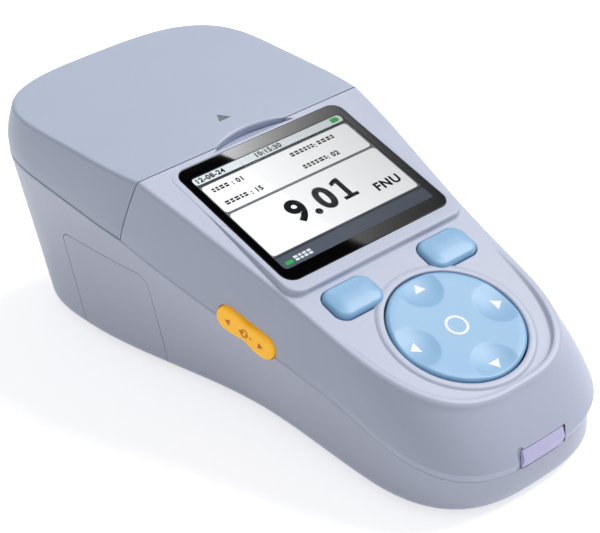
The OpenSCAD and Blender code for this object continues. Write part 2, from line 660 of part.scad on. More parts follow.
module nav_disc() color([0.60, 0.77, 0.91]) on_keypad() difference() {
    union() {
        difference() {
            translate([0, 0, -4.2]) cylinder(r = disc_r, h = 4.2 + disc_rise);
            translate([0, 0, -5]) cylinder(r = disc_r - 2.5, h = 5 + disc_rise - disc_t + 0.5);
        }
        for (y = [-1, 1]) translate([0, y * 4.6, 0]) block([-1.6, -0.6, -6.4], [1.6, 0.6, -1.5]);
    }
    translate([0, 0, nav_pivot]) rod_y(0.85, -8, 8);
}
module nav_cradle() color([0.45, 0.47, 0.52]) on_keypad() translate([0, 0, nav_pivot]) {
    block([-2.5, -2.5, -1.3], [2.5, 2.5, 1.3]);
    rod_x(0.8, -5.3, 5.3);
    rod_y(0.8, -5.3, 5.3);
}
module nav_plunger() color([0.85, 0.86, 0.88]) on_keypad() difference() {
    union() {
        translate([0, 0, -8.3]) cylinder(r = 7, h = 1);
        translate([0, 0, -key_board_depth - 3.2]) cylinder(r = 2, h = key_board_depth - 4.5);
        for (x = [-1, 1]) translate([x * 4.6, 0, 0]) block([-0.6, -1.6, -7.8], [0.6, 1.6, -4]);
    }
    translate([0, 0, nav_pivot]) rod_x(0.85, -8, 8);
}
module nav_domes() color([0.55, 0.57, 0.62]) on_keypad() {
    translate([0, 0, -key_board_depth + 0.1]) difference() {
        cylinder(r = 5, h = key_board_depth - 8.5);
        translate([0, 0, -1]) cylinder(r = 2.4, h = 9);
    }
    for (a = [0 : 90 : 270]) rotate([0, 0, a]) translate([disc_r - 1.4, 0, -key_board_depth + 0.1])
        cylinder(r1 = 2.2, r2 = 1.4, h = key_board_depth - 4.4);
}
module key_board() color([0.10, 0.35, 0.22]) on_keypad()
    translate([0, 0, -key_board_depth - board_t]) difference() {
        linear_extrude(height = board_t) union() {
            circle(r = disc_r + 3);
            translate([0, key_above_disc]) square([2 * key_x + 11.2, key_h + 3], center = true);
            square([2 * disc_r + 18, 8], center = true);
        }
        translate([0, 0, -1]) cylinder(r = 2.08, h = 4);
        for (p = key_post_at) translate([p[0], p[1], -1]) cylinder(r = 1.1, h = 4);
    }
module key_board_screws() color([0.72, 0.73, 0.75]) on_keypad() for (p = key_post_at)
    translate([p[0], p[1], -key_board_depth - board_t - 0.1]) {
        translate([0, 0, -1.2]) cylinder(r = 1.9, h = 1.2);
        translate([0, 0, -0.1]) cylinder(r = 0.9, h = 6);
    }

module side_rocker() color([0.93, 0.76, 0.24]) on_rocker() difference() {
    union() {
        translate([0, 0, -5]) linear_extrude(height = 5 + rocker_rise) pill(rocker_len, rocker_w);
        translate([0, 0, -5]) linear_extrude(height = 1) pill(rocker_len + 2, rocker_w + 2);
        block([-3, -1.8, -8], [3, 1.8, -4.5]);
    }
    translate([0, 0, -6.5]) rod_x(rocker_pin_r + 0.05, -9, 9);
}
module rocker_pin() color([0.75, 0.76, 0.78]) on_rocker() translate([0, 0, -6.5])
    rod_x(rocker_pin_r, -4.8, 4.8);
module rocker_bracket() color([0.62, 0.63, 0.65]) on_rocker() difference() {
    union() {
        block([-9, -14, -12.2], [5.5, 14, -11.2]);
        for (x = [-4.8, 3.6]) block([x, -2.2, -11.5], [x + 1.2, 2.2, -5.3]);
        for (y = [-13, 10]) block([-9, y, -11.5], [-7.5, y + 3, -5.6]);
    }
    translate([0, 0, -6.5]) rod_x(rocker_pin_r + 0.05, -9, 9);
}
module rocker_switches() color([0.13, 0.13, 0.14]) on_rocker() for (y = [-8.6, 8.6])
    translate([0, y, -11.2]) {
        block([-3, -3, 0], [3, 3, 3.4]);
        cylinder(r = 1.6, h = 5.3);
    }

module port_flap() color([0.74, 0.72, 0.88]) difference() {
    union() {
        intersection() {
            difference() { face_form(); face_form(flap_t); }
            block([-flap_w / 2, nose_y - 5, flap_z0], [flap_w / 2, nose_y + 8, flap_z1]);
        }
        intersection() {
            face_form(0.2);
            union() {
                translate([flap_pin_x, flap_pin_y, flap_z0]) cylinder(r = 1.3, h = flap_z1 - flap_z0);
                block([flap_pin_x - 1.3, nose_y, flap_z0], [flap_pin_x + 1.3, flap_pin_y, flap_z1]);
            }
        }
    }
    translate([flap_pin_x, flap_pin_y, 0]) cylinder(r = flap_pin_r + 0.05, h = far);
}
module port_flap_pin() color([0.75, 0.76, 0.78]) translate([flap_pin_x, flap_pin_y, flap_z0 - 2.6])
    cylinder(r = flap_pin_r, h = flap_z1 - flap_z0 + 5.2);
module port_board() color([0.10, 0.35, 0.22]) difference() {
    block([-port_screw_x - 3, nose_y + 5.6, port_board_z],
        [port_screw_x + 3, port_screw_y + 4, port_board_z + board_t]);
    for (x = [-1, 1]) translate([x * port_screw_x, port_screw_y, port_board_z - 1])
        cylinder(r = 1.2, h = 4);
}
module port_screws() color([0.72, 0.73, 0.75]) for (x = [-1, 1])
    translate([x * port_screw_x, port_screw_y, port_board_z]) {
        translate([0, 0, board_t + 0.05]) cylinder(r = 1.9, h = 1.2);
        translate([0, 0, -5]) cylinder(r = 1, h = 6.7);
    }
module usb_port() color([0.75, 0.76, 0.78]) difference() {
    block([-4.6, nose_y + 3.7, port_board_z + board_t], [4.6, nose_y + 12, port_board_z + 5.4]);
    block([-3.9, nose_y + 1, port_board_z + 2.2], [3.9, nose_y + 10.5, port_board_z + 4.8]);
}

module battery_cover() color([0.70, 0.72, 0.82]) union() {
    difference() {
        intersection() { face_form(); translate([-far - cover_foot_x, 0, 0]) cover_profile(0); }
        face_form(wall);
    }
    intersection() {
        face_form(wall / 2);
        for (y = cell_at_y, z = cell_at_z)
            block([-rear_half, y - 5, z - 5], [cell_x0 - 0.7, y + 5, z + 5]);
    }
}
module cover_contacts() color([0.80, 0.79, 0.72]) for (y = cell_at_y)
    block([cell_x0 - 0.7, y - 5, cell_at_z[0] - 5], [cell_x0 - 0.3, y + 5, cell_at_z[1] + 5]);
module battery_tray() color([0.30, 0.31, 0.34]) difference() {
    block([cell_x0 + 1.6, cell_at_y[0] - cell_r - 2, floor_z + 0.3],
        [cell_x1 + 4, cell_at_y[1] + cell_r + 2, cell_at_z[1] + cell_r + 1.9]);
    for (y = cell_at_y, z = cell_at_z) translate([0, y, z])
        rod_x(cell_r + 0.3, cell_x0 - 1, cell_x1 + 2);
}
module batteries() for (i = [0, 1], j = [0, 1]) translate([0, cell_at_y[i], cell_at_z[j]]) {
    low = (i + j) % 2 == 1 ? cell_button : 0;
    color([0.20, 0.33, 0.55]) rod_x(cell_r, cell_x0 + low, cell_x0 + low + cell_len);
    color([0.78, 0.78, 0.76]) rod_x(2.75, cell_x0, cell_x1);
}
module contact_springs() color([0.80, 0.79, 0.72]) for (y = cell_at_y, z = cell_at_z)
    translate([cell_x1 + 1.95, y, z]) rotate([0, -90, 0]) for (k = [0 : 2])
        translate([0, 0, 0.3 + k * 0.55]) rotate_extrude() translate([3.4 - k * 0.6, 0])
            circle(r = 0.3, $fn = 16);

module optics_block() color([0.13, 0.13, 0.14]) difference() {
    block([-block_half, well_y - block_half, floor_z + 0.3],
        [block_half, well_y + block_half, block_top]);
    block([-block_half - 1, well_y + 16.4, 0], [block_half + 1, well_y + block_half + 1, 14]);
    translate([0, well_y, well_floor]) cylinder(r = well_r, h = far);
    translate([0, well_y, beam_z]) {
        rod_y(lens_r + 0.05, -30, 0);
        rod_y(3.05, 0, 30);
        rod_x(wide_lens_r + 0.05, 0, 30);
    }
}
module on_beam() translate([0, well_y, beam_z]) children();
module light_source() color([0.93, 0.93, 0.88]) on_beam() {
    rod_y(2.5, -block_half - 0.3, -17);
    block([-7, -block_half - 1.9, -7], [7, -block_half - 0.3, 7]);
}
module source_lens() color([0.80, 0.88, 0.92]) on_beam() rod_y(lens_r, -16, -14.2);
module scatter_detector() color([0.20, 0.20, 0.22]) on_beam() rod_x(4.1, 18, block_half + 0.3);
module scatter_lens() color([0.80, 0.88, 0.92]) on_beam() rod_x(wide_lens_r, 14.5, 16.5);
module detector_board() color([0.10, 0.35, 0.22]) on_beam()
    block([block_half + 0.3, -13, -12], [block_half + 0.3 + board_t, 13, 12]);
module through_detector() color([0.20, 0.20, 0.22]) on_beam() {
    rod_y(2.95, 17, block_half + 0.3);
    block([-6, block_half + 0.3, -6], [6, block_half + 1.5, 6]);
}

module case_screws() color([0.72, 0.73, 0.75]) for (p = case_screw_at) translate([p[0], p[1], 0]) {
    translate([0, 0, base_z + 0.6]) cylinder(r = 2.8, h = 1.95);
    translate([0, 0, base_z + 2]) cylinder(r = 1.5, h = parting(p[1]) + 5 - base_z);
}
module feet() color([0.30, 0.31, 0.34]) for (p = foot_at) translate([p[0], p[1], 0])
    cylinder(r = foot_r, h = foot_out + 0.7);

bottom_case();
top_case();
lid();
light_trap();
hinge_pin();
cell_deck();
deck_screws();
well_seal();
window();
display_panel();
display_frame();
main_board();
board_parts();
board_screws();
soft_key_left();
soft_key_right();
left_key_dome();
right_key_dome();
nav_disc();
nav_cradle();
nav_plunger();
nav_domes();
key_board();
key_board_screws();
side_rocker();
rocker_pin();
rocker_bracket();
rocker_switches();
port_flap();
port_flap_pin();
port_board();
port_screws();
usb_port();
battery_cover();
cover_contacts();
battery_tray();
batteries();
contact_springs();
optics_block();
light_source();
source_lens();
scatter_detector();
scatter_lens();
detector_board();
through_detector();
case_screws();
feet();
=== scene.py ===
# %% [markdown]
# # A portable turbidity meter
# This lesson dresses a hand-held instrument that measures how cloudy a water sample is. A vial stands in
# a well under the flip lid, a lamp shines through it and a detector at its side sees the scattered light.
# The construction is already made in millimetres, so the script only reads it and gives each piece the
# surface, the soft edges and the finish that the moulded product has.

# %% Load the frame
import json
import math

import bmesh
import bpy
import numpy as np
from mathutils import Matrix, Vector


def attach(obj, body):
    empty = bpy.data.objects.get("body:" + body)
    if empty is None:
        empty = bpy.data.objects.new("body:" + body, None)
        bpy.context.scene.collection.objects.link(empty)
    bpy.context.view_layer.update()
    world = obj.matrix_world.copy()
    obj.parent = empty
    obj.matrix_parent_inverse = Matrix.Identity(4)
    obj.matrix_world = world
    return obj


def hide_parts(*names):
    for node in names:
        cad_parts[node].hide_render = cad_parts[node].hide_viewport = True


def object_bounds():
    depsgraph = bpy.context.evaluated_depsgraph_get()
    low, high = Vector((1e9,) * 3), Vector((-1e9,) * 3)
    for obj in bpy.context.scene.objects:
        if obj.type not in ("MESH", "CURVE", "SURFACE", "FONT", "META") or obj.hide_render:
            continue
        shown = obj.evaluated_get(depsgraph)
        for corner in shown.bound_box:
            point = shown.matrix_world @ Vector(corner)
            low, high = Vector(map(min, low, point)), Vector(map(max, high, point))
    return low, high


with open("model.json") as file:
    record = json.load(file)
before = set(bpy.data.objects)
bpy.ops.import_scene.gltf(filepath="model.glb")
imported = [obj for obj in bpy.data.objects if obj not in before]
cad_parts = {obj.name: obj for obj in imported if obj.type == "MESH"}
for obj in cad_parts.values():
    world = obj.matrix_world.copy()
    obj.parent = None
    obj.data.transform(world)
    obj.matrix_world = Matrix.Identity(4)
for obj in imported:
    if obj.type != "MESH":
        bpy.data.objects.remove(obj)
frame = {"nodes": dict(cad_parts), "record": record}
MM = 0.001
cad_box = [list(corner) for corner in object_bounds()]
nodes = frame["nodes"]
print("CAD box in mm:", [[round(c / MM, 1) for c in corner] for corner in cad_box])

# %% [markdown]
# ## Shape values
# The two case shells and the lid are one lofted body, cut along two straight seams. Its outline is a
# superellipse at the nose and at the rear, joined by a waist. The same few numbers drive the outline at
# every height, so they are named once here and turned into small functions of the length along the body.

# %% Driving values of the body, in millimetres
NOSE_Y, REAR_Y = cad_box[0][1] / MM, 121.0
NOSE_HALF, REAR_HALF = 44.0, 57.5
NOSE_BASE, WAIST_BASE, REAR_BASE = 42.0, 39.0, 50.0
NOSE_ROUND, BROW_ROUND, REAR_ROUND = 45.0, 60.0, 46.0
NOSE_POWER, REAR_POWER = 2.9, 3.2
BASE_Z, BASE_ROUND, TOP_ROUND = 0.8, 6.0, 1.6
UPPER_LEAN, NOSE_LEAN, NOSE_BULGE = 0.16, 10.0, 1.5
SHOULDER, SEAM_CHAMFER = 4.5, 1.8
RIM_H = 1.6
BASE_FRONT, BASE_REAR, SEAM_DROP, REAR_LEAN = 1.5, 5.0, 0.8, 2.5
WALL, LID_WALL, LID_GAP = 2.5, 2.3, 0.4
SCREEN_TILT, KEYPAD_TILT = math.radians(18.0), math.radians(20.4)
LID_TILT, PARTING_TILT, DECK_TILT = math.radians(1.8), math.radians(17.3), math.radians(7.1)
SCREEN_Y, SCREEN_Z = -13.0, 74.5
PAD_DISTANCE, PAD_DROP = 76.0, 3.7
LID_FROM_SCREEN, SKIRT_H, SKIRT_SLANT = 35.0, 24.8, 8.3

PAD_Y = SCREEN_Y - PAD_DISTANCE * math.cos(SCREEN_TILT) + PAD_DROP * math.sin(SCREEN_TILT)
PAD_Z = SCREEN_Z - PAD_DISTANCE * math.sin(SCREEN_TILT) - PAD_DROP * math.cos(SCREEN_TILT)
LID_Y = SCREEN_Y + LID_FROM_SCREEN * math.cos(SCREEN_TILT)
LID_Z = SCREEN_Z + LID_FROM_SCREEN * math.sin(SCREEN_TILT)
SEAM_Y, SEAM_Z = LID_Y + SKIRT_SLANT, LID_Z - SKIRT_H
print("keypad centre", round(PAD_Y, 1), round(PAD_Z, 1), "lid edge", round(LID_Y, 1), round(LID_Z, 1))


# %% Heights and half widths along the body
def ease(t):
    c = np.clip(t, 0, 1)
    return c * c * (3 - 2 * c)


def parting(y):
    return SEAM_Z + (y - SEAM_Y) * math.tan(PARTING_TILT)


def deck_top(y):
    return SEAM_Z + (y - SEAM_Y) * math.tan(DECK_TILT)


def split(y):
    return np.where(y < SEAM_Y, parting(y), deck_top(y))


def face_plane(y):
    screen = SCREEN_Z + (y - SCREEN_Y) * math.tan(SCREEN_TILT)
    keypad = PAD_Z + (y - PAD_Y) * math.tan(KEYPAD_TILT)
    return np.minimum(screen, keypad)


def rim_rise(y):
    return RIM_H * ease((PAD_Y + 24 - y) / 45)


def lid_top(y):
    return LID_Z + (y - LID_Y) * math.tan(LID_TILT)


def mid_half(y):
    return NOSE_HALF + (REAR_HALF - NOSE_HALF) * ease((y - NOSE_Y - 45) / 125)


def base_half(y):
    waist = NOSE_Y + 100
    front = NOSE_BASE + (WAIST_BASE - NOSE_BASE) * ease((y - NOSE_Y - 36) / 64)
    back = WAIST_BASE + (REAR_BASE - WAIST_BASE) * ease((y - waist) / 95)
    return np.where(y < waist, front, back)


def chamfer(y):
    return SEAM_CHAMFER * ease((NOSE_Y + 95 - y) / 70)


print("half width at the rocker", round(float(mid_half(-30.7)), 1), "mm")

# %% [markdown]
# ## From outlines to a skin
# A loft is a stack of closed outlines with the same number of points, joined by quads. The real tool for
# such a moulding is cut from surfaces of this kind. Numpy works out each outline, and bmesh joins them.
# Both ends are closed with strips that run across the body, since every height depends only on the
# length, which keeps each strip flat.

# %% Outlines and the loft
NOSE_STEPS, SIDE_STEPS, REAR_STEPS = 26, 44, 26


def outline(half, front, rear, height, front_round=NOSE_ROUND):
    a = np.radians(np.linspace(90, 0, NOSE_STEPS + 1))
    nose_y = front + front_round * (1 - np.sin(a) ** (2 / NOSE_POWER))
    nose_x = half(nose_y) * np.maximum(0, np.cos(a)) ** (2 / NOSE_POWER)
    side_y = np.linspace(front + front_round, rear - REAR_ROUND, SIDE_STEPS + 1)[1:-1]
    b = np.radians(np.linspace(0, 90, REAR_STEPS + 1))
    rear_y = rear - REAR_ROUND * (1 - np.sin(b) ** (2 / REAR_POWER))
    rear_x = half(rear_y) * np.maximum(0, np.cos(b)) ** (2 / REAR_POWER)
    x = np.concatenate([nose_x, half(side_y), rear_x])
    y = np.concatenate([nose_y, side_y, rear_y])
    x[0] = x[-1] = 0
    x = np.concatenate([x, -x[-2:0:-1]])
    y = np.concatenate([y, y[-2:0:-1]])
    return np.stack([x, y, height(y)], axis=1)


def lower_rings():
    """From the rounded foot up the side wall to the seam."""
    rings = []
    for a in np.radians(np.linspace(0, 90, 9)):
        r = BASE_ROUND * (1 - math.sin(a))
        lift = BASE_Z + BASE_ROUND * (1 - math.cos(a))
        front, rear = NOSE_Y + BASE_FRONT + r, REAR_Y - BASE_REAR - r
        rings.append(outline(lambda y: base_half(y) - r, front, rear, lambda y: lift + 0 * y))
    bottom, seam = rings[-1], seam_ring(0, -SEAM_DROP)
    for t in (0.25, 0.5, 0.75, 0.92):
        rings.append(bottom + (seam - bottom) * t)
    return rings + [seam]


def seam_ring(inset, lift):
    share = (lift + SEAM_DROP) / (SHOULDER + SEAM_DROP)
    return outline(
        lambda y: mid_half(y) - chamfer(y) * (1 - share) - inset,
        NOSE_Y + SEAM_CHAMFER * (1 - share) + inset,
        REAR_Y - inset,
        lambda y: split(y) + lift,
    )


def upper_rings(top, plane, pocket):
    """From the shoulder up the leaning wall, round its edge, and on into the face if there is a pocket."""

    def lean_half(y):
        return mid_half(y) - UPPER_LEAN * (top(y) - split(y) - SHOULDER)

    def top_ring(inset, height):
        front, rear = NOSE_Y + NOSE_LEAN + inset, REAR_Y - REAR_LEAN - inset
        return outline(lambda y: lean_half(y) - inset, front, rear, height, BROW_ROUND)

    shoulder = seam_ring(0, SHOULDER)
    middle = outline(
        lambda y: (mid_half(y) + lean_half(y)) / 2 + 0.4,
        NOSE_Y + NOSE_LEAN / 2 - NOSE_BULGE,
        REAR_Y - 1,
        lambda y: (split(y) + SHOULDER + top(y) - TOP_ROUND) / 2,
        (NOSE_ROUND + BROW_ROUND) / 2,
    )
    crown = top_ring(0, lambda y: top(y) - TOP_ROUND)
    rings = [seam_ring(0.05, SHOULDER - 0.7), shoulder]
    for u in np.linspace(0, 1, 13)[1:]:
        rings.append(shoulder * (1 - u) * (1 - 2 * u) + middle * 4 * u * (1 - u) + crown * u * (2 * u - 1))
    for a in np.radians([70, 50, 30, 15, 0]):
        drop = TOP_ROUND * (1 - math.cos(a))
        rings.append(top_ring(TOP_ROUND * (1 - math.sin(a)), lambda y: top(y) - drop))
    if pocket:
        for out, share in ((0.8, 1.0), (1.15, 0.92), (1.6, 0.5), (2.05, 0.08), (2.4, 0.0), (3.2, 0.0)):
            rings.append(top_ring(TOP_ROUND + out, lambda y: plane(y) + share * rim_rise(y)))
    return rings


def skin(bm, rows):
    """Quads from each row of points to the next, all the way round."""
    n = len(rows[0])
    for low, high in zip(rows, rows[1:]):
        for j in range(n):
            k = (j + 1) % n
            bm.faces.new((low[j], low[k], high[k], high[j]))


def capped(bm, rows):
    """Skins the rows, closes each end with one face and turns every face outwards."""
    skin(bm, rows)
    bm.faces.new(rows[0][::-1])
    bm.faces.new(rows[-1])
    bmesh.ops.recalc_face_normals(bm, faces=bm.faces)
    return bm


def loft(rings):
    bm = bmesh.new()
    rows = [[bm.verts.new(p * MM) for p in ring] for ring in rings]
    skin(bm, rows)
    n = len(rows[0])
    for row, up in ((rows[0], False), (rows[-1], True)):
        for j in range(n // 2):
            quad = list(dict.fromkeys((row[j], row[j + 1], row[(n - j - 1) % n], row[(n - j) % n])))
            bm.faces.new(quad if up else quad[::-1])
    bmesh.ops.recalc_face_normals(bm, faces=bm.faces)
    return bm


def new_object(name, data):
    obj = bpy.data.objects.new(name, data)
    bpy.context.scene.collection.objects.link(obj)
    return obj


def mesh_object(name, bm, smooth=40):
    mesh = bpy.data.meshes.new(name)
    bm.to_mesh(mesh)
    bm.free()
    obj = new_object(name, mesh)
    shade(obj, smooth)
    return obj


def shade(obj, angle):
    """Smooth faces, with a crisp edge wherever two faces meet at more than the angle."""
    mesh = obj.data
    mesh.polygons.foreach_set("use_smooth", [True] * len(mesh.polygons))
    bm = bmesh.new()
    bm.from_mesh(mesh)
    for e in bm.edges:
        e.smooth = len(e.link_faces) != 2 or e.calc_face_angle(0) < math.radians(angle)
    bm.to_mesh(mesh)
    bm.free()


test = loft(lower_rings() + [seam_ring(0, 0)])
print("lower loft:", len(test.verts), "points, volume", round(test.calc_volume() / MM**3), "mm3")
test.free()

# %% [markdown]
# ## Working planes
# The screen, the keypad, the rocker and the deck each lie in a plane of their own. A matrix for each one
# lets a piece be drawn flat, in plain x and y, and then set in its place with its place in the mesh.

# %% Local frames
def frame_at(x, y, z, tilt, axis="X"):
    return Matrix.Translation(Vector((x, y, z)) * MM) @ Matrix.Rotation(tilt, 4, axis)


ROCKER_Y = SCREEN_Y - 17.7
ROCKER_Z = float(parting(ROCKER_Y)) + 2.1
ROCKER_TURN = math.atan(float(mid_half(ROCKER_Y + 5) - mid_half(ROCKER_Y - 5)) / 10)
ROCKER_SLOPE = PARTING_TILT + math.radians(2)
on_screen = frame_at(0, SCREEN_Y, SCREEN_Z, SCREEN_TILT)
on_keypad = frame_at(0, PAD_Y, PAD_Z, KEYPAD_TILT)
on_rocker = (
    frame_at(-float(mid_half(ROCKER_Y)), ROCKER_Y, ROCKER_Z, ROCKER_TURN, "Z")
    @ Matrix.Rotation(math.radians(-90), 4, "Y")
    @ Matrix.Rotation(-ROCKER_SLOPE, 4, "Z")
)
print("rocker at", [round(c / MM, 1) for c in on_rocker.translation])


# %% Flat outlines
def circle_points(r, n=96):
    a = np.linspace(0, 2 * math.pi, n, endpoint=False)
    return np.stack([r * np.cos(a), r * np.sin(a)], axis=1)


def round_rect_points(w, h, r, n=12):
    points = []
    for cx, cy, start in ((1, 1, 0), (-1, 1, 90), (-1, -1, 180), (1, -1, 270)):
        for a in np.radians(np.linspace(start, start + 90, n + 1)):
            points.append((cx * (w / 2 - r) + r * math.cos(a), cy * (h / 2 - r) + r * math.sin(a)))
    return np.array(points)


def pill_points(length, width, n=24):
    points = []
    for cy, start in ((1, 0), (-1, 180)):
        for a in np.radians(np.linspace(start, start + 180, n + 1)):
            y = cy * (length - width) / 2 + width / 2 * math.sin(a)
            points.append((width / 2 * math.cos(a), y))
    return np.array(points)


def rows_of(bm, steps, centre=(0, 0)):
    """Rows of new points from steps of (outline, height), where a height may differ from point to point."""
    rows = []
    for points, z in steps:
        heights = np.broadcast_to(z, len(points))
        places = [(p[0] + centre[0], p[1] + centre[1], h) for p, h in zip(points, heights)]
        rows.append([bm.verts.new(Vector(place) * MM) for place in places])
    return rows


def stack(steps, at=Matrix.Identity(4), centre=(0, 0)):
    """A closed solid from steps of (outline, height), each outline having the same number of points."""
    bm = bmesh.new()
    capped(bm, rows_of(bm, steps, centre))
    bm.transform(at)
    return bm


def prism(points, low, high, at=Matrix.Identity(4), centre=(0, 0)):
    """A closed solid with one outline from its low to its high end."""
    return stack([(points, low), (points, high)], at, centre)


MOUTH_TOP = 6.0


def opening(outline_at, round_over, depth, at, centre=(0, 0)):
    """A cutter whose mouth flares, so that the edge it leaves is rounded over."""
    steps = [(outline_at(0), -depth)]
    for a in np.radians([90, 67, 45, 22, 0]):
        steps.append((outline_at(round_over * (1 - math.sin(a))), -round_over * (1 - math.cos(a))))
    steps.append((outline_at(round_over), MOUTH_TOP))
    return stack(steps, at, centre)


print("a circle has", len(circle_points(1)), "points, a pill", len(pill_points(3, 1)))


# %% [markdown]
# ## Cutting and closing shells
# Holes are cut with the manifold Boolean solver, by cutters whose mouths flare like a trumpet, because a
# moulded hole never has a knife edge. Big flat faces next to small curved ones shade badly with plain
# smooth normals, so a Weighted Normal modifier lets the large faces set the direction.

# %% Boolean, wall thickness and final normals
def bake(obj):
    """Turns the object with its live modifiers into a plain mesh."""
    bpy.context.view_layer.update()
    graph = bpy.context.evaluated_depsgraph_get()
    mesh = bpy.data.meshes.new_from_object(obj.evaluated_get(graph))
    obj.modifiers.clear()
    obj.data = mesh
    obj.data.name = obj.name


def modify(obj, kind, **settings):
    """Adds a modifier with its settings and bakes it in."""
    mod = obj.modifiers.new(kind.lower(), kind)
    for key, value in settings.items():
        setattr(mod, key, value)
    bake(obj)


def boolean(obj, bm, operation="DIFFERENCE"):
    tool = mesh_object("cutter", bm)
    modify(obj, "BOOLEAN", operation=operation, solver="MANIFOLD", object=tool)
    bpy.data.objects.remove(tool)


def set_normals(obj, angle=40):
    shade(obj, angle)
    modify(obj, "WEIGHTED_NORMAL", mode="FACE_AREA", weight=80, keep_sharp=True)


def give_wall(obj, thickness):
    modify(obj, "SOLIDIFY", thickness=thickness * MM, offset=-1, use_even_offset=True, use_rim=True)


def soften(obj, width, angle=50):
    """A small bevel on every edge sharper than the angle, as moulding leaves it."""
    modify(
        obj, "BEVEL", width=width * MM, segments=2, limit_method="ANGLE",
        angle_limit=math.radians(angle), use_clamp_overlap=True,
    )


def slice_off(bm, point, normal):
    """Cuts away what lies on the side that the normal points to, and closes the cut."""
    cut = bmesh.ops.bisect_plane(
        bm, geom=bm.verts[:] + bm.edges[:] + bm.faces[:], dist=1e-7,
        plane_co=Vector(point) * MM, plane_no=Vector(normal), clear_outer=True,
    )
    edges = [g for g in cut["geom_cut"] if isinstance(g, bmesh.types.BMEdge)]
    bmesh.ops.edgeloop_fill(bm, edges=edges)
    bmesh.ops.recalc_face_normals(bm, faces=bm.faces)


FACES_ALONG = 0.995


def open_side(obj, direction):
    """Takes off the flat faces that look along the direction, which leaves the shell open there."""
    bm = bmesh.new()
    bm.from_mesh(obj.data)
    way = Vector(direction).normalized()
    flat = [f for f in bm.faces if f.normal.dot(way) > FACES_ALONG]
    bmesh.ops.delete(bm, geom=flat, context="FACES")
    bm.to_mesh(obj.data)
    bm.free()


def taken_from(obj):
    """The shape of a helper object as a bmesh. The object itself goes."""
    bm = bmesh.new()
    bm.from_mesh(obj.data)
    bpy.data.objects.remove(obj)
    return bm


def join_in(bm, solid):
    """Adds one bmesh to another and frees it."""
    part = bpy.data.meshes.new("part")
    solid.to_mesh(part)
    solid.free()
    bm.from_mesh(part)
    bpy.data.meshes.remove(part)


def belongs(obj, body, stands_for=()):
    """Hides the nodes that the piece stands for and hangs it on the body that it rides on."""
    if stands_for:
        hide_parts(*stands_for)
    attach(obj, body)


SLANT_NORMAL = Vector((0, SKIRT_H, SKIRT_SLANT)).normalized()
PARTING_DOWN = Vector((0, math.sin(PARTING_TILT), -math.cos(PARTING_TILT)))
DECK_DOWN = Vector((0, math.sin(DECK_TILT), -math.cos(DECK_TILT)))
print("the plane in front of the lid looks along", [round(c, 2) for c in SLANT_NORMAL])

# %% [markdown]
# ## The upper case shell
# This is the piece that the user looks at: the sloping face with the screen and the keys. It is the loft
# from the seam up to the face, cut off by the slanted plane in front of the lid. Just above the seam the
# skin turns in by nearly half a millimetre, which gives the fine dark joint line of two moulded halves.

# %% Upper case shell
SEAM_GAP, GROOVE = 0.1, 0.4
DISC_R, DISC_GAP = 24.5, 0.6
KEY_X, KEY_UP, KEY_W, KEY_H, KEY_R, KEY_GAP = 22.4, 28.7, 21.0, 14.0, 4.5, 0.35
WINDOW_W, WINDOW_H, WINDOW_R, WINDOW_T = 77.0, 64.3, 5.0, 1.5
PICTURE_W, PICTURE_H = 70.4, 53.0
ROCKER_LEN, ROCKER_W = 27.0, 9.4
FLAP_W = 19.5
FLAP_Z0 = float(parting(NOSE_Y + 1.5)) + 0.05
FLAP_Z1 = FLAP_Z0 + 7.6
FLAP_PIN_X, FLAP_PIN_Y = FLAP_W / 2 - 1.35, NOSE_Y + 2.9
FLAP_SWING = 3.0
NOTCH_HALF, NOTCH_DEPTH = 17.0, 5.0
NOTCH_R = (NOTCH_HALF**2 + NOTCH_DEPTH**2) / (2 * NOTCH_DEPTH)
NOTCH_CENTRE = (0, LID_Y + NOTCH_DEPTH - NOTCH_R)


def grooved_seam(lift, up):
    """Three outlines that turn the skin in at a seam, going up from it or down to it."""
    rings = [
        seam_ring(GROOVE, lift),
        seam_ring(GROOVE * 0.35, lift + up * GROOVE * 0.5),
        seam_ring(0, lift + up * GROOVE * 1.1),
        seam_ring(0, lift + up * GROOVE * 1.6),
    ]
    return rings if up > 0 else rings[::-1]


def side_profile(points, half_width):
    """A solid with a given side view, as (length, height) points, run across the body."""
    bm = bmesh.new()
    ends = (-half_width, half_width)
    return capped(bm, [[bm.verts.new(Vector((x, y, z)) * MM) for y, z in points] for x in ends])


def notch_tool(shrink, z0, z1):
    return prism(circle_points(NOTCH_R - shrink, 160), z0, z1, centre=NOTCH_CENTRE)


def face_rings(pocket):
    return grooved_seam(SEAM_GAP, 1) + upper_rings(lambda y: face_plane(y) + rim_rise(y), face_plane, pocket)


face_bm = loft(face_rings(True))
slice_off(face_bm, (0, SEAM_Y - SEAM_GAP, SEAM_Z), SLANT_NORMAL)
upper_case = mesh_object("upper_case_shell", face_bm)

SCOOP_START, SCOOP_END = (LID_Y - 2.2, LID_Z - 0.75), (LID_Y + 5.4, LID_Z - 2.9)


def in_notch(name, points):
    """What lies inside the finger notch and inside a side view, as a closed solid."""
    piece = mesh_object(name, notch_tool(0.3, LID_Z - 16, LID_Z + 8))
    boolean(piece, side_profile(points, 22), "INTERSECT")
    return taken_from(piece)


sky_high = LID_Z + 6
scoop = [(SCOOP_START[0], sky_high), SCOOP_START, SCOOP_END, (SCOOP_END[0], sky_high)]
boolean(upper_case, in_notch("scoop", scoop))
open_side(upper_case, PARTING_DOWN)
give_wall(upper_case, WALL)


def tuck_in(obj, depth):
    """Sharp corners can throw the inner skin outside the body: such points go back inside."""
    moved = 0
    for v in obj.data.vertices:
        limit = float(mid_half(v.co.y / MM)) * MM
        if abs(v.co.x) > limit + 0.02 * MM:
            v.co.x = math.copysign(limit - depth * MM, v.co.x)
            moved += 1
    return moved


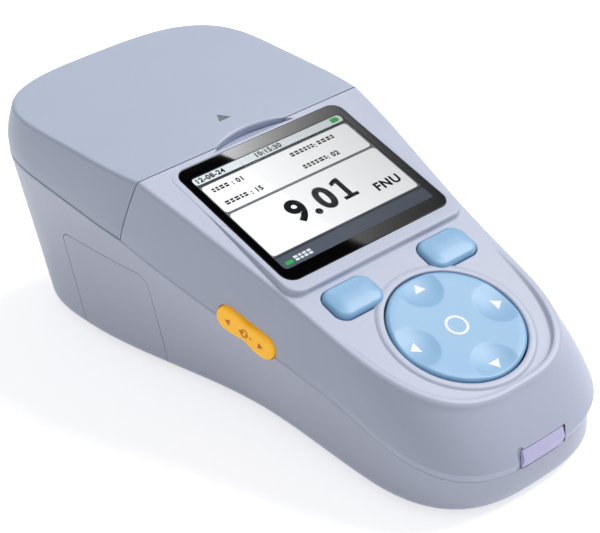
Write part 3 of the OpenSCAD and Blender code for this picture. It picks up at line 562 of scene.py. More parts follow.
print("points tucked in:", tuck_in(upper_case, WALL * 0.6))
apron = [SCOOP_START, SCOOP_END, (SCOOP_END[0], LID_Z - 13), (LID_Y + 1, LID_Z - 11)]
apron[0] = (LID_Y - 0.6, SCOOP_START[1] - 0.55)
boolean(upper_case, in_notch("apron", apron), "UNION")
print("upper shell", len(upper_case.data.polygons), "faces before its holes are cut")

# %% Holes of the upper shell
FLARE, PAD_HOLE_DEPTH, HOLE_DEPTH, HOLE_TOP = 0.45, 8.0, 12.0, 8.0
disc_hole = opening(lambda o: circle_points(DISC_R + DISC_GAP + o), FLARE, PAD_HOLE_DEPTH, on_keypad)
boolean(upper_case, disc_hole)


def key_hole(flare):
    w, h = KEY_W + 2 * KEY_GAP + 2 * flare, KEY_H + 2 * KEY_GAP + 2 * flare
    return round_rect_points(w, h, KEY_R + KEY_GAP + flare)


for side in (-1, 1):
    boolean(upper_case, opening(key_hole, FLARE, PAD_HOLE_DEPTH, on_keypad, (side * KEY_X, KEY_UP)))
picture_hole = round_rect_points(PICTURE_W + 1.6, PICTURE_H + 1.6, 1.0)
boolean(upper_case, prism(picture_hole, -HOLE_DEPTH, HOLE_TOP, on_screen))
window_seat = round_rect_points(WINDOW_W + 0.3, WINDOW_H + 0.3, WINDOW_R)
boolean(upper_case, prism(window_seat, -WINDOW_T, HOLE_TOP, on_screen))


def rocker_hole():
    outline_of = pill_points(ROCKER_LEN + 2 * KEY_GAP, ROCKER_W + 2 * KEY_GAP)
    return prism(outline_of, -HOLE_DEPTH, HOLE_TOP, on_rocker)


FLAP_GAP, FLAP_CORNER, FLAP_SEAT = 0.3, 1.2, 5.2
ON_END = math.radians(90)


def flap_hole():
    z0, z1 = FLAP_Z0 - FLAP_GAP, FLAP_Z1 + FLAP_GAP
    flap_frame = round_rect_points(FLAP_W + 2 * FLAP_GAP, z1 - z0, FLAP_CORNER)
    return prism(flap_frame, -FLAP_SEAT, HOLE_TOP, frame_at(0, NOSE_Y, (z0 + z1) / 2, ON_END))


boolean(upper_case, rocker_hole())
boolean(upper_case, flap_hole())
SLOT_TALL, SLOT_WIDE, SLOT_DEPTH = 9.4, 3.4, 2.2
on_nose = frame_at(-FLAP_W / 2 - 0.9, NOSE_Y, FLAP_Z0 - FLAP_GAP + SLOT_TALL / 2, ON_END)
nail_slot = opening(lambda g: pill_points(SLOT_TALL + 2 * g, SLOT_WIDE + 2 * g), 0.35, SLOT_DEPTH, on_nose)
boolean(upper_case, nail_slot)
FLAP_PIN = (FLAP_PIN_X, FLAP_PIN_Y)
boolean(upper_case, prism(circle_points(FLAP_SWING, 48), FLAP_Z0 - 5, FLAP_Z1 + FLAP_GAP, centre=FLAP_PIN))
set_normals(upper_case)
belongs(upper_case, "case", ["top_case"])
print("upper shell", len(upper_case.data.polygons), "faces")

# %% [markdown]
# ## The lower case shell
# The tub carries everything. Its walls rise to the two seams, and it is open on the left where the battery
# cover sits and at the nose behind the port flap.

# %% Lower case shell
COVER_Y0, COVER_Y1, COVER_Z1, COVER_CORNER = 21.0, 71.0, 47.0, 4.0
COVER_FOOT_X, COVER_GAP, COVER_LEAN = 25.0, 0.3, 6.0
HINGE_Y = 121.8
HINGE_Z = float(deck_top(HINGE_Y))
BARREL_R, PIN_R, KNUCKLE_HALF, KNUCKLE_LEN = 3.2, 1.25, 17.5, 9.0


def cover_outline(grow):
    """Side view of the battery cover as points of (length, height), with two round upper corners."""
    r = COVER_CORNER + grow
    points = [(COVER_Y0 + COVER_LEAN - grow, -5.0), (COVER_Y1 + grow, -5.0)]
    for cy, start in ((COVER_Y1 + grow - r, 0), (COVER_Y0 - grow + r, 90)):
        for a in np.radians(np.linspace(start, start + 90, 9)):
            points.append((cy + r * math.cos(a), COVER_Z1 + grow - r + r * math.sin(a)))
    return points


def cover_tool(grow, reach):
    bm = side_profile(cover_outline(grow), 100)
    bmesh.ops.translate(bm, verts=bm.verts, vec=Vector((-100 - reach, 0, 0)) * MM)
    return bm


def lower_skin(name):
    """The lower shell before its holes are cut, also for the pieces that are cut out of it."""
    obj = mesh_object(name, loft(lower_rings() + grooved_seam(0, -1)))
    open_side(obj, -PARTING_DOWN)
    open_side(obj, -DECK_DOWN)
    give_wall(obj, WALL)
    return obj


tub = lower_skin("lower_case_shell")
boolean(tub, cover_tool(COVER_GAP, COVER_FOOT_X - COVER_GAP))
boolean(tub, rocker_hole())
boolean(tub, flap_hole())
print("lower shell", len(tub.data.polygons), "faces")

# %% [markdown]
# ## The flip lid
# The lid is the same loft cut by the same two planes with a small gap. Its front edge is scooped for a
# fingertip: a large vertical cylinder bites into the closed form before the wall is given its thickness,
# so that the bite gets a wall of its own.

# %% Lid shell
lid_bm = loft(
    [seam_ring(0.3, LID_GAP), seam_ring(0.1, LID_GAP + 0.2), seam_ring(0, LID_GAP + 0.6)]
    + upper_rings(lid_top, lid_top, pocket=True)
)
slice_off(lid_bm, (0, SEAM_Y + LID_GAP, SEAM_Z), -SLANT_NORMAL)
lid = mesh_object("lid_shell", lid_bm)
boolean(lid, notch_tool(0, 20, 120))
open_side(lid, DECK_DOWN)
give_wall(lid, LID_WALL)
set_normals(lid)
set_normals(tub)
print("lid", len(lid.data.polygons), "faces")

# %% [markdown]
# ## Colours and plastic
# The housing is pale lavender-grey plastic with a very fine spark-eroded texture. Such a surface has three
# scales: the tone drifts a little over centimetres, the grain is a quarter of a millimetre, and the gloss
# varies with the grain. One node group makes all three, so every plastic piece shares the same maker's
# texture and only its own colour, gloss and depth are set in its material.

# %% The moulded texture as a node group
def srgb(r, g, b):
    """A linear colour from the eight-bit values that a picture shows."""

    def linear(c):
        c = c / 255
        return c / 12.92 if c <= 0.04045 else ((c + 0.055) / 1.055) ** 2.4

    return (linear(r), linear(g), linear(b), 1)


def new_group(name, inputs, outputs):
    group = bpy.data.node_groups.new(name, "ShaderNodeTree")
    for label, kind, value in inputs:
        group.interface.new_socket(label, in_out="INPUT", socket_type=kind).default_value = value
    for label, kind in outputs:
        group.interface.new_socket(label, in_out="OUTPUT", socket_type=kind)
    return group, group.nodes.new("NodeGroupInput"), group.nodes.new("NodeGroupOutput")


def feed(tree, made, **inputs):
    """Gives a node's sockets plain values or outputs of other nodes. In names, _ stands for a space."""
    for label, value in inputs.items():
        socket = made.inputs[label.replace("_", " ")]
        if isinstance(value, bpy.types.NodeSocket):
            tree.links.new(value, socket)
        else:
            socket.default_value = value


def node(tree, kind, settings=None, **inputs):
    """A new node with its settings, fed with values or with the outputs of other nodes."""
    made = tree.nodes.new(kind)
    for key, value in (settings or {}).items():
        setattr(made, key, value)
    feed(tree, made, **inputs)
    return made


def math_node(tree, operation, a, b=None, clamp=False):
    made = node(tree, "ShaderNodeMath", {"operation": operation, "use_clamp": clamp})
    for socket, value in zip(made.inputs, (a, b)):
        if isinstance(value, (int, float)):
            socket.default_value = value
        elif value is not None:
            tree.links.new(value, socket)
    return made.outputs[0]


def chain(tree, value, *steps):
    """Runs a value through steps of (operation, second value)."""
    for step in steps:
        value = math_node(tree, step[0], value, *step[1:])
    return value


def noise(tree, vector, scale, detail=2.0, roughness=0.5):
    made = node(tree, "ShaderNodeTexNoise", Vector=vector, Scale=scale, Detail=detail, Roughness=roughness)
    return made.outputs["Fac"]


def own_place(tree):
    """The place of the shaded point in the frame of its object."""
    return node(tree, "ShaderNodeTexCoord").outputs["Object"]


FLOAT, COLOUR = "NodeSocketFloat", "NodeSocketColor"
moulded, g_in, g_out = new_group(
    "moulded_texture",
    [
        ("Colour", COLOUR, (0.5, 0.5, 0.5, 1)),
        ("Roughness", FLOAT, 0.45),
        ("Grain", FLOAT, 2400.0),
        ("Drift", FLOAT, 0.03),
    ],
    [("Colour", COLOUR), ("Roughness", FLOAT), ("Height", FLOAT)],
)
place = own_place(moulded)
grain = noise(moulded, place, g_in.outputs["Grain"], 2.0, 0.55)
drift = noise(moulded, place, 38.0, 3.0, 0.5)
speck = noise(moulded, place, 900.0, 1.0, 0.4)
tone = chain(moulded, drift, ("SUBTRACT", 0.5), ("MULTIPLY", g_in.outputs["Drift"]))
fleck = chain(moulded, speck, ("SUBTRACT", 0.5), ("MULTIPLY", 0.03))
tone = chain(moulded, tone, ("ADD", fleck), ("ADD", 1.0))
hue = node(moulded, "ShaderNodeHueSaturation", Color=g_in.outputs["Colour"], Value=tone)
gloss = chain(
    moulded, grain, ("SUBTRACT", 0.5), ("MULTIPLY", 0.12), ("ADD", g_in.outputs["Roughness"], True)
)
feed(moulded, g_out, Colour=hue.outputs["Color"], Roughness=gloss, Height=grain)
print("moulded texture:", len(moulded.nodes), "nodes")


# %% Plastic, rubber, metal and board materials
def material(name, seen_as=None, **sockets):
    """A material on the standard shader, with the colour that a plain viewport shows."""
    made = bpy.data.materials.new(name)
    made.use_nodes = True
    tree = made.node_tree
    shader = tree.nodes["Principled BSDF"]
    feed(tree, shader, **sockets)
    if seen_as:
        made.diffuse_color = seen_as
    return made, tree, shader


def plastic(name, colour, roughness=0.42, grain_scale=2400.0, depth=0.03, drift=0.05, **sockets):
    made, tree, shader = material(name, colour, **sockets)
    group = node(
        tree, "ShaderNodeGroup", {"node_tree": moulded},
        Colour=colour, Roughness=roughness, Grain=grain_scale, Drift=drift,
    )
    bump = node(tree, "ShaderNodeBump", Distance=depth * MM, Strength=0.6, Height=group.outputs["Height"])
    feed(
        tree, shader, Normal=bump.outputs["Normal"],
        Base_Color=group.outputs["Colour"], Roughness=group.outputs["Roughness"],
    )
    return made


face_plastic = plastic("face_plastic", srgb(186, 193, 214), 0.40)
case_plastic = plastic("case_plastic", srgb(194, 200, 220), 0.42)
lid_plastic = plastic("lid_plastic", srgb(175, 186, 207), 0.40)
flap_plastic = plastic("flap_plastic", srgb(204, 200, 240), 0.45)
key_blue = plastic("key_blue", srgb(134, 182, 222), 0.38, 3000.0, 0.02, 0.02)
# The emission is painted light: the key is no lamp, but it glows so that it stays bright yellow on its
# shaded side.
rocker_yellow = plastic(
    "rocker_yellow", srgb(255, 196, 46), 0.4, 3000.0, 0.02, 0.03,
    Emission_Color=srgb(255, 176, 30), Emission_Strength=0.3,
)
mark_white = plastic("mark_white", srgb(246, 248, 252), 0.5, 3200.0, 0.01, 0.01)
mark_orange = plastic("mark_orange", srgb(222, 128, 30), 0.5, 3200.0, 0.01, 0.02)
mark_grey = plastic("mark_grey", srgb(96, 100, 112), 0.5, 3200.0, 0.01, 0.02)
black_plastic = plastic("black_plastic", srgb(38, 39, 43), 0.5, 1800.0, 0.04, 0.1)
grey_plastic = plastic("grey_plastic", srgb(120, 124, 132), 0.5, 1800.0, 0.04, 0.06)
rubber = plastic("rubber", srgb(44, 45, 48), 0.75, 1400.0, 0.06, 0.12)
dome_rubber = plastic("dome_rubber", srgb(146, 150, 160), 0.7, 1600.0, 0.05, 0.06)
cell_sleeve = plastic("cell_sleeve", srgb(52, 84, 140), 0.3, 2600.0, 0.01, 0.05)
print(len(bpy.data.materials), "materials so far")

STREAKS = (1, 1, 60)


def metal(name, colour, roughness):
    """Turned or rolled metal: fine streaks along one way change the gloss and the relief."""
    made, tree, shader = material(name, colour, Metallic=1.0)
    place = own_place(tree)
    stretch = node(tree, "ShaderNodeMapping", Vector=place, Scale=STREAKS)
    lines = noise(tree, stretch.outputs["Vector"], 160.0, 3.0, 0.6)
    shade_of = node(
        tree, "ShaderNodeMix", {"data_type": "RGBA"}, Factor=noise(tree, place, 220.0),
        A=colour, B=tuple(c * 0.8 for c in colour[:3]) + (1,),
    )
    rough = chain(tree, lines, ("MULTIPLY", 0.25), ("ADD", roughness - 0.12, True))
    bump = node(tree, "ShaderNodeBump", Distance=0.01 * MM, Height=lines)
    feed(tree, shader, Base_Color=shade_of.outputs["Result"], Roughness=rough, Normal=bump.outputs["Normal"])
    return made


steel = metal("steel", srgb(196, 198, 202), 0.3)
tin = metal("tin", srgb(214, 210, 196), 0.25)
brass = metal("brass", srgb(214, 180, 104), 0.28)


def board_green():
    """Solder mask over copper: a darker base with slightly raised, lighter tracks along x and y."""
    made, tree, shader = material("board_green", srgb(24, 92, 58), Coat_Weight=0.3, Coat_Roughness=0.2)
    place = own_place(tree)
    tracks = node(
        tree, "ShaderNodeTexBrick", {"offset": 0.4}, Vector=place, Scale=180.0, Mortar_Size=0.03,
        Color1=srgb(26, 98, 60), Color2=srgb(20, 82, 50), Mortar=srgb(58, 138, 88),
    )
    bump = node(tree, "ShaderNodeBump", Distance=0.03 * MM, Height=tracks.outputs["Fac"])
    rough = chain(tree, noise(tree, place, 300.0), ("MULTIPLY", 0.3), ("ADD", 0.25))
    feed(tree, shader, Base_Color=tracks.outputs["Color"], Roughness=rough, Normal=bump.outputs["Normal"])
    return made


board = board_green()


def glass(name, seen_as, haze, most, **sockets):
    """Polished glass. A haze, given as scale, detail and roughness, makes the polish a little uneven."""
    made, tree, shader = material(name, seen_as, **sockets)
    feed(tree, shader, Roughness=math_node(tree, "MULTIPLY", noise(tree, own_place(tree), *haze), most))
    return made


def dress(obj, *finishes):
    obj.data.materials.clear()
    for finish in finishes:
        obj.data.materials.append(finish)
    return obj


dress(upper_case, face_plastic)
print("upper shell dressed")

# %% [markdown]
# ## The raised bezel and the collar
# The screen sits on a plate that lies in its own plane. The keypad below it is steeper, so the plate grows
# out of the face: flush at the top, two millimetres proud at its foot. Each point of its outline therefore
# has its own fillet and its own rounding, worked out from the height of the step at that point. The disc
# has a low collar, turned like a ring on a lathe.

# %% Closed rings
def outward(points):
    """Unit directions out of a flat outline that runs anticlockwise."""
    ahead = np.roll(points, -1, axis=0) - np.roll(points, 1, axis=0)
    side = np.stack([ahead[:, 1], -ahead[:, 0]], axis=1)
    return side / np.linalg.norm(side, axis=1, keepdims=True)


def grown(points, amount):
    return points + outward(points) * np.reshape(amount, (-1, 1))


def ring_solid(steps, at):
    """A ring whose section is closed: the last outline is joined back to the first."""
    bm = bmesh.new()
    rows = rows_of(bm, steps)
    skin(bm, rows + rows[:1])
    bmesh.ops.recalc_face_normals(bm, faces=bm.faces)
    bm.transform(at)
    return bm


def add_piece(name, bm, finish, body, stands_for=(), smooth=40, weighted=True):
    """Makes a finished piece: mesh, normals, material, and what it rides on and stands for."""
    obj = mesh_object(name, bm, smooth)
    if weighted:
        set_normals(obj, smooth)
    dress(obj, finish)
    belongs(obj, body, stands_for)
    return obj


def face_in_screen(v):
    """Height of the keypad's plane in the frame of the screen."""
    t, k = SCREEN_TILT, math.tan(KEYPAD_TILT)
    rise = PAD_Z - SCREEN_Z + (SCREEN_Y - PAD_Y) * k + v * (math.cos(t) * k - math.sin(t))
    return np.minimum(0, rise / (math.cos(t) + math.sin(t) * k))


BEZEL_SIDE, BEZEL_TOP, BEZEL_FOOT, BEZEL_RISE = 2.6, 1.0, 5.6, 0.1
plate = round_rect_points(WINDOW_W + 2 * BEZEL_SIDE, WINDOW_H + BEZEL_TOP + BEZEL_FOOT, 6.0, 16)
plate[:, 1] += (BEZEL_TOP - BEZEL_FOOT) / 2
recess = round_rect_points(WINDOW_W + 0.3, WINDOW_H + 0.3, WINDOW_R, 16)
ground = face_in_screen(plate[:, 1])
step = BEZEL_RISE - ground
fillet = np.minimum(1.3, 0.5 * step)
soft = np.minimum(1.0, 0.45 * step)
steps = [(grown(plate, fillet), ground - 0.5)]
QUARTER_ROUND = np.radians([0, 22, 45, 67, 90])
for a in QUARTER_ROUND:
    steps.append((grown(plate, fillet * (1 - math.sin(a))), ground + fillet * (1 - math.cos(a))))
for a in QUARTER_ROUND:
    steps.append((grown(plate, -soft * (1 - math.cos(a))), BEZEL_RISE - soft * (1 - math.sin(a))))
steps += [(grown(recess, 0.3), BEZEL_RISE), (grown(recess, 0.09), BEZEL_RISE - 0.09)]
steps += [(recess, BEZEL_RISE - 0.3), (recess, -WINDOW_T - 1.0)]
add_piece("screen_bezel", ring_solid(steps, on_screen), face_plastic, "case")
print("the bezel's step at its foot is", round(float(step.max()), 2), "mm")

# %% Collar round the disc
COLLAR = [
    (28.9, -0.7), (28.5, -0.04), (28.2, 0.06), (27.9, 0.22), (27.6, 0.38), (27.2, 0.48), (26.7, 0.5),
    (25.9, 0.5), (25.5, 0.44), (25.25, 0.3), (25.12, 0.05), (25.1, -3.0), (26.8, -3.0),
]
collar_steps = [(circle_points(r, 144), z) for r, z in COLLAR]
add_piece("disc_collar", ring_solid(collar_steps, on_keypad), face_plastic, "case")
print("collar", COLLAR[0][0], "mm in radius")

# %% [markdown]
# ## The navigation disc
# The disc is dished, with a shallow thumb hollow under each arrow. Its top is a height field over circles:
# the dish, minus four spherical caps whose edges are eased over half a millimetre. The arrows and the ring
# are printed on it, so each is a thin sheet that takes its height from the same field.

# %% Navigation disc
DISC_RISE, DISC_DEPTH, DISH, SCALLOP_R, SCALLOP_D, ARROW_AT = 0.9, 4.2, 0.35, 8.6, 0.75, 19.3


def soft_positive(value, width):
    """Zero below nought, the value above it, with an eased corner between."""
    return 0.5 * (value + np.sqrt(value * value + width * width)) - 0.5 * width


def disc_height(x, y):
    r = np.hypot(x, y)
    z = DISC_RISE - DISH * (1 - np.minimum(r / 21.5, 1) ** 2)
    for turn in range(4):
        cx = ARROW_AT * math.cos(turn * math.pi / 2)
        cy = ARROW_AT * math.sin(turn * math.pi / 2)
        cap = 1 - ((x - cx) ** 2 + (y - cy) ** 2) / SCALLOP_R**2
        z = z - SCALLOP_D * soft_positive(cap, 0.06)
    edge = np.clip((r - (DISC_R - 1.2)) / 1.2, 0, 1)
    return z - 0.9 * (1 - np.sqrt(1 - 0.999 * edge * edge))


def add_box(bm, low, high):
    """A closed box from its two corners, in millimetres."""
    size = Vector(high) - Vector(low)
    middle = (Vector(high) + Vector(low)) / 2
    place = Matrix.Translation(middle * MM) @ Matrix.Diagonal((*(size * MM), 1))
    bmesh.ops.create_cube(bm, size=1, matrix=place)
    return bm


def box_tool(low, high):
    return add_box(bmesh.new(), low, high)


disc_bm = bmesh.new()
edge_radii = DISC_R - 1.2 * (1 - np.sin(np.radians([22, 45, 67, 90])))
radii = np.concatenate([np.linspace(0.4, DISC_R - 1.2, 74), edge_radii])
angles = np.linspace(0, 2 * math.pi, 240, endpoint=False)
rows = []
for r in radii:
    x, y = r * np.cos(angles), r * np.sin(angles)
    rows.append([disc_bm.verts.new(Vector(p) * MM) for p in zip(x, y, disc_height(x, y))])
for r, z in ((DISC_R, -DISC_DEPTH), (DISC_R - 2.5, -DISC_DEPTH), (DISC_R - 2.5, -2.0), (0.5, -2.0)):
    circle = zip(r * np.cos(angles), r * np.sin(angles))
    rows.append([disc_bm.verts.new(Vector((x, y, z)) * MM) for x, y in circle])
capped(disc_bm, rows)
for side in (-1, 1):
    add_box(disc_bm, (-1.6, side * 4.6 - 0.6, -6.4), (1.6, side * 4.6 + 0.6, -1.9))
disc_bm.transform(on_keypad)
nav_disc = add_piece("navigation_disc", disc_bm, key_blue, "nav_disc", ["nav_disc"], 40, False)
print("disc", len(nav_disc.data.polygons), "faces")


# %% Printed marks
PRINT_LIFT, PRINT_THICK, PRINT_FINE = 0.03, 0.05, 0.5


def printed(name, outlines, height_at, at, finish, body, slot):
    """Thin printed sheets over a surface, from flat outlines given as lists of (x, y)."""
    bm = bmesh.new()
    for points in outlines:
        bm.faces.new([bm.verts.new((p[0], p[1], 0)) for p in points])
    bmesh.ops.triangulate(bm, faces=bm.faces)
    for _ in range(5):
        long = [e for e in bm.edges if e.calc_length() > PRINT_FINE]
        if not long:
            break
        bmesh.ops.subdivide_edges(bm, edges=long, cuts=1, use_grid_fill=False)
        bmesh.ops.triangulate(bm, faces=bm.faces)
    bmesh.ops.recalc_face_normals(bm, faces=bm.faces)
    bmesh.ops.reverse_faces(bm, faces=[f for f in bm.faces if f.normal.z < 0])
    for v in bm.verts:
        v.co = Vector((v.co.x, v.co.y, float(height_at(v.co.x, v.co.y)) + PRINT_LIFT)) * MM
    sheet = bmesh.ops.extrude_face_region(bm, geom=bm.faces[:])
    lower = [g for g in sheet["geom"] if isinstance(g, bmesh.types.BMVert)]
    bmesh.ops.translate(bm, verts=lower, vec=(0, 0, -PRINT_THICK * MM))
    bmesh.ops.recalc_face_normals(bm, faces=bm.faces)
    bm.transform(at)
    add_piece(name, bm, finish, body, weighted=False)


def turned(points, angle, shift=(0, 0)):
    c, s = math.cos(angle), math.sin(angle)
    return [(c * x - s * y + shift[0], s * x + c * y + shift[1]) for x, y in points]


ARROW = [(-2.4, -1.1), (2.4, -1.1), (0, 2.5)]
arrows = [turned([(x, y + ARROW_AT) for x, y in ARROW], q * math.pi / 2) for q in range(4)]
printed("disc_arrows", arrows, disc_height, on_keypad, mark_white, "nav_disc", "blue_key")


def ring_sheet(name, outer, inner, height_at, at, finish, body, slot):
    mid, thick = (outer + inner) / 2, PRINT_THICK
    steps = []
    for r, drop in ((inner, thick), (inner, 0), (mid, 0), (outer, 0), (outer, thick), (mid, thick)):
        circle = circle_points(r)
        steps.append((circle, height_at(circle[:, 0], circle[:, 1]) + PRINT_LIFT - drop))
    add_piece(name, ring_solid(steps, at), finish, body, weighted=False)


ring_sheet("disc_ring_mark", 4.3, 3.35, disc_height, on_keypad, mark_white, "nav_disc", "blue_key")
print("printed on the disc:", len(arrows), "arrows and a ring")

# %% [markdown]
# ## Soft keys
# The two soft keys are pillows of tinted plastic: a rounded rectangle that leans in a little, turns over
# a generous edge and ends in a low crown. A wide foot below the face keeps each key from falling out.

# %% Soft keys
KEY_RISE = 2.0


def key_ring(inset):
    r = max(KEY_R - inset * 0.62, 0.3)
    return round_rect_points(KEY_W - 2 * inset, KEY_H - 2 * inset, r, 14)


def key_foot(extra):
    wide = round_rect_points(KEY_W, KEY_H, KEY_R, 14)
    wide[:, 0] *= (KEY_W + extra) / KEY_W
    return wide


key_steps = [(key_foot(2.2), -3.6), (key_foot(2.2), -2.8), (key_ring(0), -2.79), (key_ring(0.02), 0.1)]
for a in np.radians([0, 18, 36, 54, 72, 90]):
    key_steps.append((key_ring(0.1 + 1.7 * (1 - math.cos(a))), 0.35 + 1.25 * math.sin(a)))
for t in (0.2, 0.4, 0.6, 0.8, 1.0):
    key_steps.append((key_ring(1.8 + 4.6 * t), 1.6 + (KEY_RISE - 1.6) * (1 - (1 - t) ** 2)))
for side, label in ((-1, "left"), (1, "right")):
    node_name = "soft_key_" + label
    cap_bm = stack(key_steps, on_keypad, (side * KEY_X, KEY_UP))
    key = add_piece(node_name + "_cap", cap_bm, key_blue, node_name, [node_name], 50)
print("soft keys", len(key.data.polygons), "faces each")

# %% [markdown]
# ## The side rocker
# A small see-saw key on the left wall: a long pill with a slight waist, so that a finger finds its middle.
# It is drawn flat in the frame of the wall, with a rounded edge and a shallow hollow along its length.

# %% Side rocker
ROCKER_RISE, WAIST_IN, END_GAP = 1.5, 1.0, 0.15


def rocker_outline(inset):
    """A pill that is drawn in by a waist halfway along."""
    half, reach = ROCKER_W / 2 - inset, ROCKER_LEN / 2 - END_GAP - inset
    y = reach * np.sin(np.linspace(-math.pi / 2, math.pi / 2, 57))
    into_tip = np.clip(np.abs(y) - (reach - half), 0, half) / half
    x = half * np.sqrt(1 - into_tip**2) - WAIST_IN * np.exp(-((y / 3.4) ** 2))
    x[0] = x[-1] = 0
    right = np.stack([x, y], axis=1)
    left = np.stack([-x[-2:0:-1], y[-2:0:-1]], axis=1)
    return np.concatenate([right, left])


def rocker_height(x, y):
    return ROCKER_RISE - 0.25 * np.exp(-((np.asarray(y) / 4.5) ** 2)) - 0.006 * np.asarray(x) ** 2


FLANGE_REACH = 12.9
flange = rocker_outline(-1.0)
flange[:, 1] = np.clip(flange[:, 1], -FLANGE_REACH, FLANGE_REACH)
rocker_steps = [(flange, -5.0), (flange, -4.2), (rocker_outline(0), -4.19)]
rocker_steps.append((rocker_outline(0), 0.35))
for a in QUARTER_ROUND:
    edge = rocker_outline(1.1 * (1 - math.cos(a)))
    top = rocker_height(edge[:, 0], edge[:, 1])
    rocker_steps.append((edge, 0.4 + (top - 0.4) * math.sin(a)))
for inset in (1.8, 2.6, 3.4, 4.1):
    edge = rocker_outline(inset)
    rocker_steps.append((edge, rocker_height(edge[:, 0], edge[:, 1])))
rocker_bm = stack(rocker_steps)
add_box(rocker_bm, (-3, -1.8, -8), (3, 1.8, -4.9))
rocker_bm.transform(on_rocker)
add_piece("side_rocker_cap", rocker_bm, rocker_yellow, "side_rocker", ["side_rocker"], 50)

SMALL_ARROW, ARROW_OUT = [(-1.35, -0.9), (1.35, -0.9), (0, 1.5)], 7.6
rocker_arrows = [
    [(x, y + ARROW_OUT) for x, y in SMALL_ARROW],
    [(-x, -y - ARROW_OUT) for x, y in SMALL_ARROW],
    [(-0.3, -3.6), (0.3, -3.6), (0.3, -2.4), (-0.3, -2.4)],
]
rocker_print = (rocker_height, on_rocker, mark_orange, "side_rocker", "yellow_key")
printed("rocker_arrows", rocker_arrows, *rocker_print)
ring_sheet("rocker_ring_mark", 1.75, 1.1, *rocker_print)
print("rocker", ROCKER_LEN, "by", ROCKER_W, "mm")

# %% [markdown]
# ## The port flap
# The flap closes the charging port in the nose. Its front follows the nose exactly, because it is cut
# from the same loft, only with a thinner wall. It turns on an upright pin at its right edge, and a slot
# for a fingernail is sunk into the case beside its left edge.

# %% Port flap
FLAP_WALL, KNUCKLE_R, FLAP_PIN_R = 1.8, 1.3, 0.55
port_flap = mesh_object("port_flap_panel", loft(face_rings(False)))
open_side(port_flap, PARTING_DOWN)
give_wall(port_flap, FLAP_WALL)
flap_room = box_tool((-FLAP_W / 2, NOSE_Y - 5, FLAP_Z0), (FLAP_W / 2, NOSE_Y + 8, FLAP_Z1))
boolean(port_flap, flap_room, "INTERSECT")
boolean(port_flap, prism(circle_points(KNUCKLE_R, 32), FLAP_Z0, FLAP_Z1, centre=FLAP_PIN), "UNION")
bridge_from = (FLAP_PIN_X - KNUCKLE_R, NOSE_Y + 2.1, FLAP_Z0)
bridge_to = (FLAP_PIN_X + KNUCKLE_R, FLAP_PIN_Y, FLAP_Z1)
boolean(port_flap, box_tool(bridge_from, bridge_to), "UNION")
boolean(port_flap, prism(circle_points(FLAP_PIN_R, 24), 0, 60, centre=FLAP_PIN))
soften(port_flap, 0.22)
set_normals(port_flap)
dress(port_flap, flap_plastic)
belongs(port_flap, "port_flap", ["port_flap"])
print("flap", len(port_flap.data.polygons), "faces")

# %% [markdown]
# ## The battery cover
# The cover is a piece of the lower shell itself: the same wall, cut out along the same outline but a little
# smaller. On its inner side four pads press the spring plates against the cells.

# %% Battery cover
COVER_FLOOR, COVER_PAD, PAD_IN = 3.3, 5.0, 1.0
CELL_R, CELL_X0, CELL_X1 = 7.1, -41.0, 9.4
CELL_Y = [(COVER_Y0 + COVER_Y1) / 2 + d * (CELL_R + 0.7) for d in (-1, 1)]
CELL_Z = [COVER_FLOOR + 1.6 + k * (CELL_R + 0.7) for k in (1, 3)]
cover = lower_skin("battery_cover_panel")
boolean(cover, cover_tool(0, COVER_FOOT_X), "INTERSECT")
for y in CELL_Y:
    for z in CELL_Z:
        pad = mesh_object("pad", loft(lower_rings() + grooved_seam(0, -1)))
        pad_from = (-70, y - COVER_PAD, z - COVER_PAD)
        pad_to = (CELL_X0 - 0.7 - PAD_IN, y + COVER_PAD, z + COVER_PAD)
        boolean(pad, box_tool(pad_from, pad_to), "INTERSECT")
        pad_bm = taken_from(pad)
        bmesh.ops.translate(pad_bm, verts=pad_bm.verts, vec=(PAD_IN * MM, 0, 0))
        boolean(cover, pad_bm, "UNION")
soften(cover, 0.25, 55)
set_normals(cover)
dress(cover, case_plastic)
belongs(cover, "battery_cover", ["battery_cover"])
print("battery cover", len(cover.data.polygons), "faces")

# %% [markdown]
# ## Cells
# Each cell is turned on a lathe, with the shrunk shoulders of its sleeve, the button and the flat base.
# Every second cell lies the other way round. All of a cell takes the finish of its sleeve.

# %% Cells
CELL_PROFILE = [
    (0, 0.0), (3.4, 0.0), (3.9, 0.3), (5.6, 0.3), (6.0, 0.0), (6.7, 0.15), (7.05, 0.55), (7.1, 1.0),
    (7.1, 36.0), (7.1, 47.6), (7.05, 48.2), (6.7, 48.75), (6.0, 49.0), (5.4, 48.8), (3.6, 48.8),
    (2.9, 49.0), (2.75, 49.3), (2.75, 50.0), (2.55, 50.35), (0, 50.4),
]


def lathe(profile, n):
    """Turns a profile of (radius, height), which starts and ends on the axis."""
    bm = bmesh.new()
    a = np.linspace(0, 2 * math.pi, n, endpoint=False)
    rows = []
    for r, z in profile:
        spokes = a if r else [0]
        rows.append([bm.verts.new(Vector((r * math.cos(t), r * math.sin(t), z)) * MM) for t in spokes])
    for low, high in zip(rows, rows[1:]):
        for j in range(n):
            k = (j + 1) % n
            corners = [low[j % len(low)], low[k % len(low)], high[k % len(high)], high[j % len(high)]]
            bm.faces.new(list(dict.fromkeys(corners)))
    bmesh.ops.recalc_face_normals(bm, faces=bm.faces)
    return bm


cells_bm = bmesh.new()
for i, y in enumerate(CELL_Y):
    for j, z in enumerate(CELL_Z):
        turned_round = (i + j) % 2 == 1
        x, turn = (CELL_X1, -math.pi / 2) if turned_round else (CELL_X0, math.pi / 2)
        cell = lathe(CELL_PROFILE, 40)
        cell.transform(frame_at(x, y, z, turn, "Y"))
        join_in(cells_bm, cell)
cells = add_piece("cells", cells_bm, cell_sleeve, "case", ["batteries"], 35, False)
print("cells", len(cells.data.polygons), "faces")
